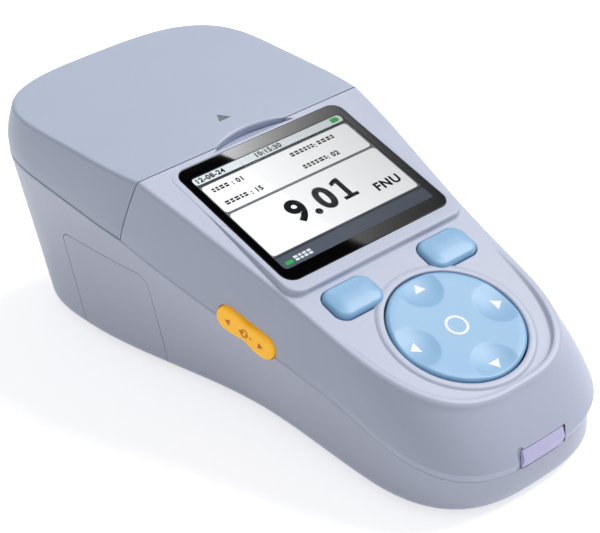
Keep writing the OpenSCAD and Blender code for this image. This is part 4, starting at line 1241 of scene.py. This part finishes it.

# %% [markdown]
# ## The window and the display
# The window is a black glass border round a clear pane with a coating against reflections. Under it a
# light guide brings the picture up to the pane. The picture is a stack of thin sheets, one for each
# colour, and they all glow through one node group that adds the fine grid of the picture's dots. The
# same group paints shade on the picture beyond the edge of the window's reflection, more the further
# from that edge.

# %% Clear pane and its black border
clear_glass = glass(
    "clear_glass", (0.1, 0.1, 0.12, 1), (90.0, 3.0, 0.55), 0.02,
    Transmission_Weight=1.0, IOR=1.1, Base_Color=(0.98, 0.99, 1.0, 1),
)
# The border is print under polished glass: no colour of its own, only a clean reflection
polished_black = glass(
    "polished_black", (0.01, 0.01, 0.01, 1), (120.0, 3.0, 0.55), 0.06,
    Base_Color=(0.002, 0.002, 0.0025, 1), IOR=1.5,
)
PICTURE_Z = -0.34


def border_ring(inset):
    return round_rect_points(WINDOW_W - 2 * inset, WINDOW_H - 2 * inset, WINDOW_R - 0.15 - inset, 14)


def picture_ring(inset):
    return round_rect_points(PICTURE_W - 2 * inset, PICTURE_H - 2 * inset, 1.7 - inset, 14)


border_steps = [
    (border_ring(0.1), -1.34), (border_ring(0), -1.24), (border_ring(0), -0.16),
    (border_ring(0.06), -0.05), (border_ring(0.2), 0.02), (border_ring(0.35), 0.04),
    (picture_ring(-0.1), 0.04), (picture_ring(0), -0.02), (picture_ring(0), -1.34),
]
border_bm = ring_solid(border_steps, on_screen)
add_piece("window_border", border_bm, polished_black, "case", (), 15)
pane_steps = [
    (picture_ring(0.04), PICTURE_Z + 0.07), (picture_ring(0.04), -0.04), (picture_ring(0.12), 0.02),
]
pane_bm = stack(pane_steps, on_screen)
pane = add_piece("window_glass", pane_bm, clear_glass, "case", ["window"], 15)
print("window", len(pane.data.polygons), "faces")

# %% The glowing picture as a node group
REFLECTION_EDGE = ((-15.4, WINDOW_H / 2), (-4.9, -WINDOW_H / 2))
edge_points = [on_screen @ (Vector((x, y, 0)) * MM) for x, y in REFLECTION_EDGE]
screen_normal = (on_screen.to_3x3() @ Vector((0, 0, 1))).normalized()
across_edge = (edge_points[0] - edge_points[1]).cross(screen_normal).normalized()
lit, l_in, l_out = new_group(
    "lit_picture", [("Colour", COLOUR, (1, 1, 1, 1)), ("Dots", FLOAT, 0.06)], [("Colour", COLOUR)]
)
place = own_place(lit)
dot_product = {"operation": "DOT_PRODUCT"}
# Painted shade: beyond the edge of the window's reflection the picture's glow is cut by a step, and more the
# further from the edge.
EDGE_BLUR, PAINTED_SHADE_STEP, PAINTED_SHADE_GROWTH = 0.3 * MM, 0.13, 4.6
side_of = node(lit, "ShaderNodeVectorMath", dot_product, Vector=place)
side_of.inputs[1].default_value = across_edge
offset = math_node(lit, "SUBTRACT", side_of.outputs["Value"], edge_points[0].dot(across_edge))
beyond = node(
    lit, "ShaderNodeMapRange", {"interpolation_type": "SMOOTHSTEP"},
    From_Min=-EDGE_BLUR, From_Max=EDGE_BLUR, Value=offset,
)
# The painted shade beyond the reflection's edge, taken off the picture's glow
loss = chain(lit, offset, ("MULTIPLY", PAINTED_SHADE_GROWTH, True), ("ADD", PAINTED_SHADE_STEP))
loss = math_node(lit, "MULTIPLY", loss, beyond.outputs["Result"])
keep = math_node(lit, "SUBTRACT", 1.0, loss)
flat = node(lit, "ShaderNodeVectorMath", dot_product, Vector=place)
flat.inputs[1].default_value = (0, math.cos(SCREEN_TILT), math.sin(SCREEN_TILT))
parts_of = node(lit, "ShaderNodeSeparateXYZ", Vector=place)
DOT_PITCH = 0.22 * MM
DOT = 2 * math.pi / DOT_PITCH
wave_x = chain(lit, parts_of.outputs["X"], ("MULTIPLY", DOT), ("SINE",))
wave_y = chain(lit, flat.outputs["Value"], ("MULTIPLY", DOT), ("SINE",))
grid = chain(lit, wave_x, ("MAXIMUM", wave_y), ("MULTIPLY", l_in.outputs["Dots"]))
level = math_node(lit, "MULTIPLY", keep, math_node(lit, "SUBTRACT", 1.0, grid))
tint = node(lit, "ShaderNodeVectorMath", {"operation": "SCALE"}, Vector=l_in.outputs["Colour"], Scale=level)
feed(lit, l_out, Colour=tint.outputs["Vector"])
GLOW = 1.08


def glowing(name, colour):
    made, tree, shader = material(
        name, colour, Base_Color=(0.01, 0.01, 0.01, 1), Roughness=0.8, Specular_IOR_Level=0.0
    )
    group = node(tree, "ShaderNodeGroup", {"node_tree": lit}, Colour=colour)
    feed(tree, shader, Emission_Color=group.outputs["Colour"], Emission_Strength=GLOW)
    return made


lit_white = glowing("lit_white", srgb(255, 255, 255))
lit_silver = glowing("lit_silver", srgb(224, 232, 234))
lit_frame = glowing("lit_frame", srgb(112, 116, 121))
lit_slate = glowing("lit_slate", srgb(80, 88, 100))
lit_dark = glowing("lit_dark", srgb(52, 57, 65))
lit_ink = glowing("lit_ink", srgb(12, 13, 15))
lit_green = glowing("lit_green", srgb(52, 176, 84))
print("picture materials ready")


# %% The picture, sheet by sheet
def at_uv(u, v):
    """A point of the picture from its shares of width and height, counted from the upper left."""
    return ((u - 0.5) * PICTURE_W, (0.5 - v) * PICTURE_H)


def patch(u0, v0, u1, v1, r=0.0):
    """Outline of a rectangle in the picture, with rounded corners where r is given in millimetres."""
    (x0, y1), (x1, y0) = at_uv(u0, v0), at_uv(u1, v1)
    points = round_rect_points(x1 - x0, y1 - y0, max(r, 0.02), 8 if r else 1)
    return points + np.array([(x0 + x1) / 2, (y0 + y1) / 2])


SHEET_T = 0.02


def sheet(name, outlines, z, finish):
    """One object from flat outlines, all a little above the picture's ground."""
    bm = bmesh.new()
    for points in outlines:
        join_in(bm, prism(points, z - SHEET_T, z))
    bm.transform(on_screen)
    add_piece(name, bm, finish, "case", (), 30, False)


LETTER_SPACE, CAP_SHARE = 1.14, 0.73


def lettering(name, rows, z, finish):
    """Flat characters of the built-in typeface: text, left edge u, base line v, height in mm, weight."""
    bm = bmesh.new()
    for text, u, v, tall, weight in rows:
        curve = bpy.data.curves.new("text", "FONT")
        curve.body = text
        curve.size = tall / CAP_SHARE * MM
        curve.offset = weight * MM
        curve.space_character = LETTER_SPACE
        curve.resolution_u = 6
        curve.extrude = 0.01 * MM
        writing = new_object("text", curve)
        bpy.context.view_layer.update()
        graph = bpy.context.evaluated_depsgraph_get()
        flat_mesh = bpy.data.meshes.new_from_object(writing.evaluated_get(graph))
        x, y = at_uv(u, v)
        flat_mesh.transform(Matrix.Translation(Vector((x, y, z)) * MM))
        bm.from_mesh(flat_mesh)
        bpy.data.objects.remove(writing)
        bpy.data.curves.remove(curve)
        bpy.data.meshes.remove(flat_mesh)
    bmesh.ops.remove_doubles(bm, verts=bm.verts, dist=1e-7)
    bmesh.ops.recalc_face_normals(bm, faces=bm.faces)
    bm.transform(on_screen)
    add_piece(name, bm, finish, "case", (), 30, False)


PANEL_DEPTH, DISPLAY_T = 5.2, 3.2
block_outline = round_rect_points(WINDOW_W - 0.2, WINDOW_H - 0.4, 0.8, 6)
guide_outline = round_rect_points(PICTURE_W - 0.1, PICTURE_H - 0.1, 1.6, 6)
display_steps = [
    (block_outline, -PANEL_DEPTH - DISPLAY_T), (block_outline, -PANEL_DEPTH),
    (guide_outline, -PANEL_DEPTH + 0.01), (guide_outline, PICTURE_Z - 0.03),
]
display_bm = stack(display_steps, on_screen)
add_piece("display_block", display_bm, black_plastic, "case", ["display_panel"], 30, False)
PANEL_Z, INK_Z = PICTURE_Z + 0.02, PICTURE_Z + 0.045
sheet("picture_frame", [patch(0.001, 0.001, 0.999, 0.999, 1.6)], PICTURE_Z, lit_frame)
sheet("picture_status_bar", [patch(0.002, 0.002, 0.998, 0.07, 1.4)], PANEL_Z, lit_silver)
sheet("picture_shadow_lines", [patch(0, 0.072, 1, 0.09), patch(0, 0.868, 1, 0.885)], PANEL_Z, lit_dark)
panels = [patch(0.008, 0.098, 0.986, 0.376, 1.5), patch(0.008, 0.398, 0.99, 0.86, 1.5)]
sheet("picture_panels", panels, PANEL_Z, lit_white)
sheet("picture_foot", [patch(0.0, 0.885, 1, 1.0, 0.6)], PANEL_Z, lit_slate)
green_marks = [patch(0.925, 0.012, 0.972, 0.056, 0.3), patch(0.973, 0.024, 0.979, 0.044)]
green_marks.append(patch(0.03, 0.94, 0.075, 0.97))
sheet("picture_green", green_marks, INK_Z, lit_green)


def word(u0, u1, v, tall, seed):
    """A row of blocks of uneven width, which stands for a word that can't be read."""
    random = np.random.default_rng(seed)
    blocks, u = [], u0
    while u < u1 - 0.01:
        w = min(random.uniform(0.014, 0.026), u1 - u)
        blocks.append(patch(u, v, u + w, v + tall * 0.42))
        blocks.append(patch(u, v + tall * 0.58, u + w, v + tall))
        u += w + 0.008
    return blocks


words = word(0.05, 0.165, 0.142, 0.036, 3) + word(0.05, 0.205, 0.283, 0.036, 4)
words += word(0.565, 0.72, 0.142, 0.036, 5) + word(0.565, 0.72, 0.283, 0.036, 6)
words += word(0.75, 0.86, 0.142, 0.036, 7)
sheet("picture_words", words, INK_Z, lit_ink)
# The typeface draws the one as a bare bar, so it is drawn here, with a flag and a foot
DIGIT_ONE = [
    (0, 0), (6.6, 0), (6.6, 1.6), (4.5, 1.6), (4.5, 11.0), (2.7, 11.0), (0, 9.9), (0, 8.1), (2.3, 8.9),
    (2.3, 1.6), (0, 1.6),
]
one_x, one_y = at_uv(0.592, 0.705)
digit_one = [(x + one_x, y + one_y) for x, y in DIGIT_ONE]
sheet("picture_digit_one", [digit_one], INK_Z, lit_ink)
sheet("picture_foot_word", word(0.09, 0.2, 0.925, 0.045, 9), INK_Z, lit_silver)
lettering(
    "picture_figures",
    [
        ("9.0", 0.275, 0.705, 10.8, 0.6),
        ("FNU", 0.78, 0.755, 4.1, 0.22),
        ("12-08-24", 0.014, 0.055, 2.3, 0.13),
        ("10:15:30", 0.4, 0.055, 2.3, 0.13),
        (": 01", 0.172, 0.184, 2.3, 0.13),
        (": 15", 0.21, 0.325, 2.3, 0.13),
        (":", 0.725, 0.184, 2.3, 0.13),
        (": 02", 0.725, 0.325, 2.3, 0.13),
    ],
    PICTURE_Z + 0.05,
    lit_ink,
)
print("picture finished")

# %% [markdown]
# ## The lid's lip, its mark and the hinge
# The finger notch has a soft raised lip, which catches the light, and it takes the face's lighter plastic
# rather than the lid's, a painted highlight along it. A small triangle behind it shows where to lift. At the
# rear one steel pin runs through five knuckles: three belong to the lid, two to the case.

# %% Lip of the notch
LIP_R, LIP_SINK = 1.0, 0.3


def swept(path, radius, n=14):
    """A round bead along a path, whose ends taper to nothing."""
    bm = bmesh.new()
    rows = []
    for i, point in enumerate(path):
        before, after = path[max(i - 1, 0)], path[min(i + 1, len(path) - 1)]
        way = (after - before).normalized()
        side = way.cross(Vector((0, 0, 1))).normalized()
        over = side.cross(way)
        t = i / (len(path) - 1)
        r = radius * max(math.sin(math.pi * t), 0.0) ** 0.4 + 0.02
        round_it = [2 * math.pi * k / n for k in range(n)]
        section = [point + (side * math.cos(a) + over * math.sin(a)) * r for a in round_it]
        rows.append([bm.verts.new(p * MM) for p in section])
    return capped(bm, rows)


lip_path = []
for x in np.linspace(-NOTCH_HALF + 0.6, NOTCH_HALF - 0.6, 61):
    y = NOTCH_CENTRE[1] + math.sqrt((NOTCH_R + 0.45) ** 2 - x * x)
    lip_path.append(Vector((x, y, float(lid_top(y)) - LIP_SINK)))
# Painted highlight: the lip takes the lighter face plastic instead of the lid's own.
add_piece("lid_lip", swept(lip_path, LIP_R), face_plastic, "lid", (), 60, False)
TRIANGLE_Y = LID_Y + 17.4
triangle = [[(-2.8, TRIANGLE_Y - 2.2), (2.8, TRIANGLE_Y - 2.2), (0, TRIANGLE_Y + 2.9)]]
as_it_lies = Matrix.Identity(4)
printed("lid_triangle", triangle, lambda x, y: lid_top(y), as_it_lies, mark_grey, "lid", "lid_shell")
print("lip and triangle made")


# %% Hinge knuckles
def rod(radius, x0, x1):
    """A round bar across the body at the height of the hinge, with rounded ends."""
    edge = min(0.35, radius / 3)
    steps = [(radius - edge, x0), (radius, x0 + edge), (radius, x1 - edge), (radius - edge, x1)]
    lying = frame_at(0, HINGE_Y, HINGE_Z, math.pi / 2, "Y")
    return stack([(circle_points(r, 40), x) for r, x in steps], lying)


def web(points, x0, x1):
    """A rib that ties a knuckle to its wall, from a side view round the hinge."""
    bm = side_profile([(HINGE_Y + y, HINGE_Z + z) for y, z in points], (x1 - x0) / 2)
    bmesh.ops.translate(bm, verts=bm.verts, vec=Vector(((x0 + x1) / 2, 0, 0)) * MM)
    return bm


LID_WEB = [(-2.6, 9), (-1.4, 9), (BARREL_R - 0.6, 1.6), (0, 0), (-2.6, 0)]
CASE_WEB = [(-2.6, -9), (-0.6, -9), (BARREL_R - 0.6, -1.6), (0, 0), (-2.6, 0)]
PIN_PLAY = 0.05
ear_in, ear_out = KNUCKLE_HALF + LID_GAP, KNUCKLE_HALF + LID_GAP + KNUCKLE_LEN
boolean(tub, rod(BARREL_R + LID_GAP, -ear_in, ear_in))
boolean(lid, rod(BARREL_R, -KNUCKLE_HALF, KNUCKLE_HALF), "UNION")
boolean(lid, web(LID_WEB, -KNUCKLE_HALF, KNUCKLE_HALF), "UNION")
for side in (-1, 1):
    low, high = sorted((side * ear_in, side * ear_out))
    boolean(lid, rod(BARREL_R + LID_GAP, low - LID_GAP, high + LID_GAP))
    boolean(tub, rod(BARREL_R, low, high), "UNION")
    boolean(tub, web(CASE_WEB, low, high), "UNION")
for shell in (tub, lid):
    boolean(shell, rod(PIN_R + PIN_PLAY, -50, 50))
print("hinge pin at", round(HINGE_Y, 1), round(HINGE_Z, 1))

# %% Recesses of the screws and feet, and posts and ribs inside
WELL_Y = frame["record"]["mounts"][1]["pos_m"][1] / MM
CASE_SCREW_AT = [(s * 30, NOSE_Y + 20) for s in (-1, 1)] + [(s * 31.6, NOSE_Y + 53) for s in (-1, 1)]
FOOT_AT = [(s * 24, NOSE_Y + 29) for s in (-1, 1)] + [(s * 27, WELL_Y + 6) for s in (-1, 1)]
FOOT_R, POST_R, RECESS_R, SHANK_HOLE_R, POST_FOOT = 5.0, 3.6, 3.1, 1.7, 1.6


def upright(radius, z0, z1, centre, n=40):
    return prism(circle_points(radius, n), z0, z1, centre=centre)


for x, y in CASE_SCREW_AT:
    boolean(tub, upright(POST_R, POST_FOOT, float(parting(y)) - 0.3, (x, y)), "UNION")
for y in (NOSE_Y + 42, NOSE_Y + 66, NOSE_Y + 90):
    boolean(tub, box_tool((-30, y, POST_FOOT), (30, y + 1.6, 7.3)), "UNION")
for x, y in CASE_SCREW_AT:
    boolean(tub, upright(SHANK_HOLE_R, -5, 90, (x, y), 28))
    boolean(tub, upright(RECESS_R, -5, BASE_Z + 2.6, (x, y)))
for x, y in FOOT_AT:
    boolean(tub, upright(FOOT_R + 0.2, -5, BASE_Z + 0.75, (x, y)))
for shell, finish in ((tub, case_plastic), (lid, lid_plastic)):
    set_normals(shell)
    dress(shell, finish)
belongs(tub, "case", ["bottom_case"])
belongs(lid, "lid", ["lid"])
print("lower shell", len(tub.data.polygons), "faces, lid", len(lid.data.polygons), "faces")

# %% [markdown]
# ## Screws, feet and cell springs, repeated by a node tree
# The same screw sits in four places, the same foot in four and the same coil in four. A Geometry Nodes tree
# sets one part on each point, turns it by an angle that the point carries, as screws are never lined up, and
# stretches the shank to the length that the point carries. A second tree winds the coil along a spiral.

# %% Trees that repeat a part
def geometry_tree(name, inputs):
    tree = bpy.data.node_groups.new(name, "GeometryNodeTree")
    tree.is_modifier = True
    for label, kind in [("Geometry", "Geometry"), *inputs]:
        tree.interface.new_socket(label, in_out="INPUT", socket_type="NodeSocket" + kind)
    tree.interface.new_socket("Geometry", in_out="OUTPUT", socket_type="NodeSocketGeometry")
    return tree, node(tree, "NodeGroupInput").outputs, node(tree, "NodeGroupOutput")


def carried(tree, name):
    """The value that each point carries under this name."""
    return node(tree, "GeometryNodeInputNamedAttribute", Name=name).outputs["Attribute"]


def vector_of(tree, **parts):
    return node(tree, "ShaderNodeCombineXYZ", **parts).outputs["Vector"]


def turn_by(tree, **parts):
    way = node(tree, "FunctionNodeEulerToRotation", Euler=vector_of(tree, **parts))
    return way.outputs["Rotation"]


def finish_tree(tree, given, result, geometry):
    """Turns the repeated parts into one real mesh with its material."""
    real = node(tree, "GeometryNodeRealizeInstances", Geometry=geometry).outputs["Geometry"]
    coat = node(tree, "GeometryNodeSetMaterial", Geometry=real, Material=given["Finish"])
    feed(tree, result, Geometry=coat.outputs["Geometry"])


set_out, given, result = geometry_tree(
    "set_on_points",
    [("Head", "Object"), ("Shank", "Object"), ("Lean", "Float"), ("Sink", "Float"), ("Finish", "Material")],
)
both_ways = node(
    set_out, "FunctionNodeRotateRotation", {"rotation_space": "LOCAL"},
    Rotation=turn_by(set_out, X=given["Lean"]), Rotate_By=turn_by(set_out, Z=carried(set_out, "turn")),
)
joined = node(set_out, "GeometryNodeJoinGeometry")
for part in ("Head", "Shank"):
    info = node(set_out, "GeometryNodeObjectInfo", Object=given[part])
    spread = node(
        set_out, "GeometryNodeInstanceOnPoints", Points=given["Geometry"],
        Instance=info.outputs["Geometry"], Rotation=both_ways.outputs["Rotation"],
    )
    placed = spread.outputs["Instances"]
    if part == "Shank":
        feed(set_out, spread, Scale=vector_of(set_out, X=1.0, Y=1.0, Z=carried(set_out, "reach")))
        sink = vector_of(set_out, Z=given["Sink"])
        lower = node(set_out, "GeometryNodeTranslateInstances", Instances=placed, Translation=sink)
        placed = lower.outputs["Instances"]
    feed(set_out, joined, Geometry=placed)
finish_tree(set_out, given, result, joined.outputs["Geometry"])

wind, given, result = geometry_tree(
    "wind_on_points",
    [("Wide", "Float"), ("Narrow", "Float"), ("Rise", "Float"), ("Wire", "Float"), ("Finish", "Material")],
)
spiral = node(
    wind, "GeometryNodeCurveSpiral", Resolution=40, Rotations=2.8,
    Start_Radius=given["Wide"], End_Radius=given["Narrow"], Height=given["Rise"],
)
round_wire = node(wind, "GeometryNodeCurvePrimitiveCircle", Resolution=12, Radius=given["Wire"])
drawn = node(
    wind, "GeometryNodeCurveToMesh", Fill_Caps=True,
    Curve=spiral.outputs["Curve"], Profile_Curve=round_wire.outputs["Curve"],
)
spread = node(
    wind, "GeometryNodeInstanceOnPoints", Rotation=(0, -math.pi / 2, 0),
    Points=given["Geometry"], Instance=drawn.outputs["Mesh"],
)
finish_tree(wind, given, result, spread.outputs["Instances"])
print("node trees", set_out.name, len(set_out.nodes), "nodes,", wind.name, len(wind.nodes), "nodes")

# %% Screws, feet and springs
HEAD_RINGS = [(0.96, -1.0), (1.0, -0.93), (1.0, -0.3), (0.97, -0.14), (0.9, -0.04), (0.78, 0.0)]


def cross(size):
    """The outline of a cross recess."""
    w = 0.16 * size
    quarter = [(w, -w), (size, -w * 0.8), (size, w * 0.8), (w, w)]
    return [p for k in range(4) for p in turned(quarter, k * math.pi / 2)]


def screw_head(r, h):
    head = mesh_object("screw_head", stack([(circle_points(r * k, 48), h * z) for k, z in HEAD_RINGS]))
    boolean(head, stack([(cross(0.2 * r), -0.75 * h), (cross(0.62 * r), 0.0), (cross(0.66 * r), 0.3)]))
    shade(head, 35)
    return head


def screw_shank(r, turns):
    """A thread of unit length, which the tree stretches."""
    steps = []
    a = np.linspace(0, 2 * math.pi, 28, endpoint=False)
    for z in np.linspace(0, 1, turns * 5 + 1):
        height = 2 * np.abs((a / (2 * math.pi) + z * turns) % 1 - 0.5)
        grip = min(1.0, 12 * (1 - z))
        radius = r * (1 - 0.18 * height * grip) * (0.55 + 0.45 * min(1.0, 18 * (1 - z)))
        steps.append((np.stack([radius * np.cos(a), radius * np.sin(a)], axis=1), -z * 1000))
    return mesh_object("screw_shank", stack(steps), 60)


def on_points(name, tree, places, body, slot, stands_for, carried_values=None, **inputs):
    """Runs a tree on points given in millimetres, and keeps its result as a plain piece."""
    mesh = bpy.data.meshes.new(name)
    mesh.from_pydata([Vector(p) * MM for p in places], [], [])
    for label, values in (carried_values or {}).items():
        mesh.attributes.new(label, "FLOAT", "POINT").data.foreach_set("value", values)
    obj = new_object(name, mesh)
    mod = obj.modifiers.new("repeat", "NODES")
    mod.node_group = tree
    for item in tree.interface.items_tree:
        if item.in_out == "INPUT" and item.name in inputs:
            mod[item.identifier] = inputs[item.name]
    bake(obj)
    belongs(obj, body, [stands_for])
    for value in inputs.values():
        if isinstance(value, bpy.types.Object):
            bpy.data.objects.remove(value)
    print(name, len(obj.data.polygons), "faces at", len(places), "places")


turns_at_random = np.random.default_rng(7)
DECK_HEAD = 1.4
deck_places = []
for x, y in [(s * 38, WELL_Y - 15) for s in (-1, 1)] + [(s * 28, WELL_Y + 12) for s in (-1, 1)]:
    deck_places.append(frame_at(x, y, float(deck_top(y)), DECK_TILT) @ Vector((0, 0, DECK_HEAD * MM)) / MM)
on_points(
    "deck_screw_set", set_out, deck_places, "case", "steel", "deck_screws",
    {"turn": turns_at_random.uniform(0, 1.5, 4), "reach": np.full(4, 10.6 * MM)},
    Head=screw_head(2.4, DECK_HEAD), Shank=screw_shank(1.25, 11),
    Lean=DECK_TILT, Sink=(0.1 - DECK_HEAD) * MM, Finish=steel,
)

CASE_HEAD = 1.95
reaches = [(float(parting(y)) + 7.0 - 3.25) * MM for x, y in CASE_SCREW_AT]
on_points(
    "case_screw_set", set_out, [(x, y, BASE_Z + 0.6) for x, y in CASE_SCREW_AT],
    "case", "steel", "case_screws",
    {"turn": turns_at_random.uniform(0, 1.5, 4), "reach": reaches},
    Head=screw_head(2.8, CASE_HEAD), Shank=screw_shank(1.5, 26),
    Lean=math.pi, Sink=(0.1 - CASE_HEAD) * MM, Finish=steel,
)

foot_rings = [(4.8, -1.5), (5.0, -1.35), (5.0, -0.4), (4.9, -0.14), (4.6, 0.0), (3.6, 0.0), (3.3, -0.3)]
foot_rings += [(2.9, -0.3), (2.6, 0.0), (1.2, 0.0)]
foot = mesh_object("foot", stack([(circle_points(r, 64), z) for r, z in foot_rings]), 35)
on_points(
    "foot_set", set_out, [(x, y, 0.0) for x, y in FOOT_AT], "case", "grey_rubber", "feet",
    {"turn": np.zeros(4), "reach": np.ones(4)},
    Head=foot, Lean=math.pi, Sink=0.0, Finish=rubber,
)

on_points(
    "cell_springs", wind, [(CELL_X1 + 1.6, y, z) for y in CELL_Y for z in CELL_Z],
    "case", "contact_metal", "contact_springs",
    Wide=3.4 * MM, Narrow=2.2 * MM, Rise=1.0 * MM, Wire=0.3 * MM, Finish=tin,
)

# %% [markdown]
# ## Mark beside the well
# A sample vial goes into the well one way round. A white arrow on the collar shows which way.

# %% Alignment mark
COLLAR_Z = float(deck_top(WELL_Y)) + 5.0
on_collar = frame_at(0, WELL_Y, COLLAR_Z, 0)
align_mark = [[(-1.7, -17.2), (1.7, -17.2), (0, -14.4)]]
printed("well_mark", align_mark, lambda x, y: 0, on_collar, mark_white, "case", "black_plastic")
print("well mark at a height of", round(COLLAR_Z, 1), "mm")

# %% [markdown]
# ## Finishes for the pieces that keep their own shape
# Much of the inside keeps the constructed shape, because a pin, a lens or a bracket is already true to life.
# Each of those pieces only needs the finish of what it is made of.

# %% Finishes of the carried-over pieces
lens_glass = glass(
    "lens_glass", None, (260.0, 2.0, 0.5), 0.08,
    Transmission_Weight=1.0, IOR=1.49, Base_Color=(0.9, 0.96, 1.0, 1),
)
amber = plastic("amber_cap", srgb(226, 190, 120), 0.2, 2600.0, 0.01, 0.05)
finishes = {
    steel: "hinge_pin display_frame board_screws key_board_screws rocker_pin rocker_bracket "
    "port_flap_pin port_screws",
    tin: "cover_contacts usb_port",
    board: "main_board key_board port_board detector_board",
    black_plastic: "board_parts rocker_switches optics_block light_trap cell_deck",
    grey_plastic: "battery_tray nav_cradle nav_plunger",
    dome_rubber: "left_key_dome right_key_dome nav_domes",
    rubber: "well_seal",
    lens_glass: "source_lens scatter_lens",
    amber: "light_source",
    brass: "scatter_detector through_detector",
}
for finish, names in finishes.items():
    for name in names.split():
        for place_of in nodes[name].material_slots:
            place_of.material = finish
print("finished", sum(len(names.split()) for names in finishes.values()), "carried-over pieces")

# %% [markdown]
# ## Camera
# The camera stands where the photograph was taken from: left of the nose, a little above, with a slight
# roll. Its place and its lens were solved from the corners of the window and the oval of the disc.

# %% Camera
AZIMUTH, ELEVATION, ROLL = math.radians(-38.83), math.radians(30.76), math.radians(-4.19)
CAMERA_AT = Vector((-374.0, -466.9, 392.5)) * MM
SENSOR_WIDTH, FOCAL_LENGTH = 36, 112.44
level = Vector((math.cos(AZIMUTH), math.sin(AZIMUTH), 0))
across, down = math.cos(ELEVATION), -math.sin(ELEVATION)
ahead = Vector((-math.sin(AZIMUTH) * across, math.cos(AZIMUTH) * across, down))
right = level * math.cos(ROLL) + level.cross(ahead) * math.sin(ROLL)
camera_data = bpy.data.cameras.new("photo_camera")
camera_data.sensor_width = SENSOR_WIDTH
camera_data.lens = FOCAL_LENGTH
camera = new_object("photo_camera", camera_data)
turn_of = Matrix((right, right.cross(ahead), -ahead)).transposed().to_4x4()
camera.matrix_world = Matrix.Translation(CAMERA_AT) @ turn_of
bpy.context.scene.camera = camera
bpy.context.scene.view_settings.view_transform = "Standard"
print("camera", [round(c, 3) for c in camera.location])

# %% [markdown]
# ## Light, floor and the card in the window
# A large soft lamp stands high on the right and a pale world fills the shadows. The floor is a plain white
# sheet. What the camera sees of the world is white as well, and a light path switch keeps that from making
# the lighting stronger. The grey wedge in the window is the reflection of a studio card. Its edge is found
# by sending the camera's view off the glass at the two ends of the wedge.

# %% World and lamp
def seen_directly(tree):
    """One for what the camera sees straight, in a mirror or through glass, otherwise nought."""
    path = node(tree, "ShaderNodeLightPath")
    seen = math_node(tree, "MAXIMUM", path.outputs["Is Camera Ray"], path.outputs["Is Glossy Ray"])
    return math_node(tree, "MAXIMUM", seen, path.outputs["Is Transmission Ray"])


FILL, KEY_LIGHT, KEY_SPREAD = 0.4, 2.1, 26.0
TO_LIGHT = Vector((0.62, -0.1, 0.78))
world = bpy.data.worlds.new("studio")
bpy.context.scene.world = world
world.use_nodes = True
sky = world.node_tree
background = sky.nodes["Background"]
sky_seen = math_node(sky, "MULTIPLY", seen_directly(sky), 1.0 - FILL)
sky.links.new(math_node(sky, "ADD", sky_seen, FILL), background.inputs["Strength"])
background.inputs["Color"].default_value = (1, 1, 1, 1)
sun_data = bpy.data.lights.new("key_light", "SUN")
sun_data.energy = KEY_LIGHT
sun_data.angle = math.radians(KEY_SPREAD)
sun = new_object("key_light", sun_data)
sun.rotation_euler = (-TO_LIGHT).to_track_quat("-Z", "Y").to_euler()
print("lamp", KEY_LIGHT, "and fill", FILL)

# %% Floor
FLOOR_GLOW, FLOOR_HALF = 0.6, 12
floor_white, floor_tree, floor_shader = material(
    "floor_white", Base_Color=(0.9, 0.9, 0.91, 1), Roughness=0.9, Specular_IOR_Level=0.0
)
floor_glow = math_node(floor_tree, "MULTIPLY", seen_directly(floor_tree), FLOOR_GLOW)
feed(floor_tree, floor_shader, Emission_Color=(1, 1, 1, 1), Emission_Strength=floor_glow)
floor_bm = bmesh.new()
bmesh.ops.create_grid(floor_bm, x_segments=2, y_segments=2, size=FLOOR_HALF)
floor = mesh_object("studio_floor", floor_bm)
dress(floor, floor_white)
print("floor", [round(c) for c in floor.dimensions], "m")

# %% Card that the window mirrors
CARD_AWAY, CARD_SPAN, CARD_BRIGHT, CARD_FADE = 0.9, 0.5, 11.0, 0.055
glass_centre = on_screen.translation


def mirror_way(point):
    return (point - CAMERA_AT).normalized().reflect(screen_normal)


card_normal = -mirror_way(glass_centre)
card_centre = glass_centre - card_normal * CARD_AWAY


def on_card(point):
    way = mirror_way(point)
    return point + way * ((card_centre - point).dot(card_normal) / way.dot(card_normal))


card_edge = [on_card(point) for point in edge_points]
edge_way = (card_edge[0] - card_edge[1]).normalized()
side_way = edge_way.cross(card_normal).normalized()
if side_way.dot(on_card(glass_centre + Vector((0.03, 0, 0))) - card_edge[0]) < 0:
    side_way = -side_way
middle_edge = (card_edge[0] + card_edge[1]) / 2
near_side = [middle_edge + edge_way * CARD_SPAN / 2, middle_edge - edge_way * CARD_SPAN / 2]
lit_corners = near_side + [p + side_way * CARD_SPAN for p in near_side[::-1]]
dark_corners = [near_side[0], *(p - side_way * CARD_SPAN / 2 for p in near_side), near_side[1]]
card_light, card_tree, card_shader = material("card_light", Base_Color=(0, 0, 0, 1), Roughness=1.0)
along = node(card_tree, "ShaderNodeVectorMath", dot_product, Vector=own_place(card_tree))
fall = (side_way - edge_way).normalized()
along.inputs[1].default_value = fall
decay = chain(
    card_tree, along.outputs["Value"], ("SUBTRACT", card_edge[0].dot(fall)), ("MULTIPLY", -1 / CARD_FADE),
    ("EXPONENT",), ("MULTIPLY", CARD_BRIGHT), ("MINIMUM", CARD_BRIGHT * 1.3),
)
feed(card_tree, card_shader, Emission_Color=(0.98, 0.99, 1, 1), Emission_Strength=decay)
card_dark = material("card_dark", Base_Color=(0, 0, 0, 1), Roughness=1.0, Specular_IOR_Level=0.0)[0]
for name, points, finish in (("card_lit", lit_corners, card_light), ("card_black", dark_corners, card_dark)):
    card_bm = bmesh.new()
    card_bm.faces.new([card_bm.verts.new(p) for p in points])
    card = mesh_object(name, card_bm)
    dress(card, finish)
    card.visible_camera = False
    card.visible_diffuse = False
    card.visible_shadow = False
print("card at", [round(c, 2) for c in card_centre])

# %% [markdown]
# Dressing must not make the object grow. The last call brings the scene up to date.

# %% Bring the scene up to date
bpy.context.view_layer.update()
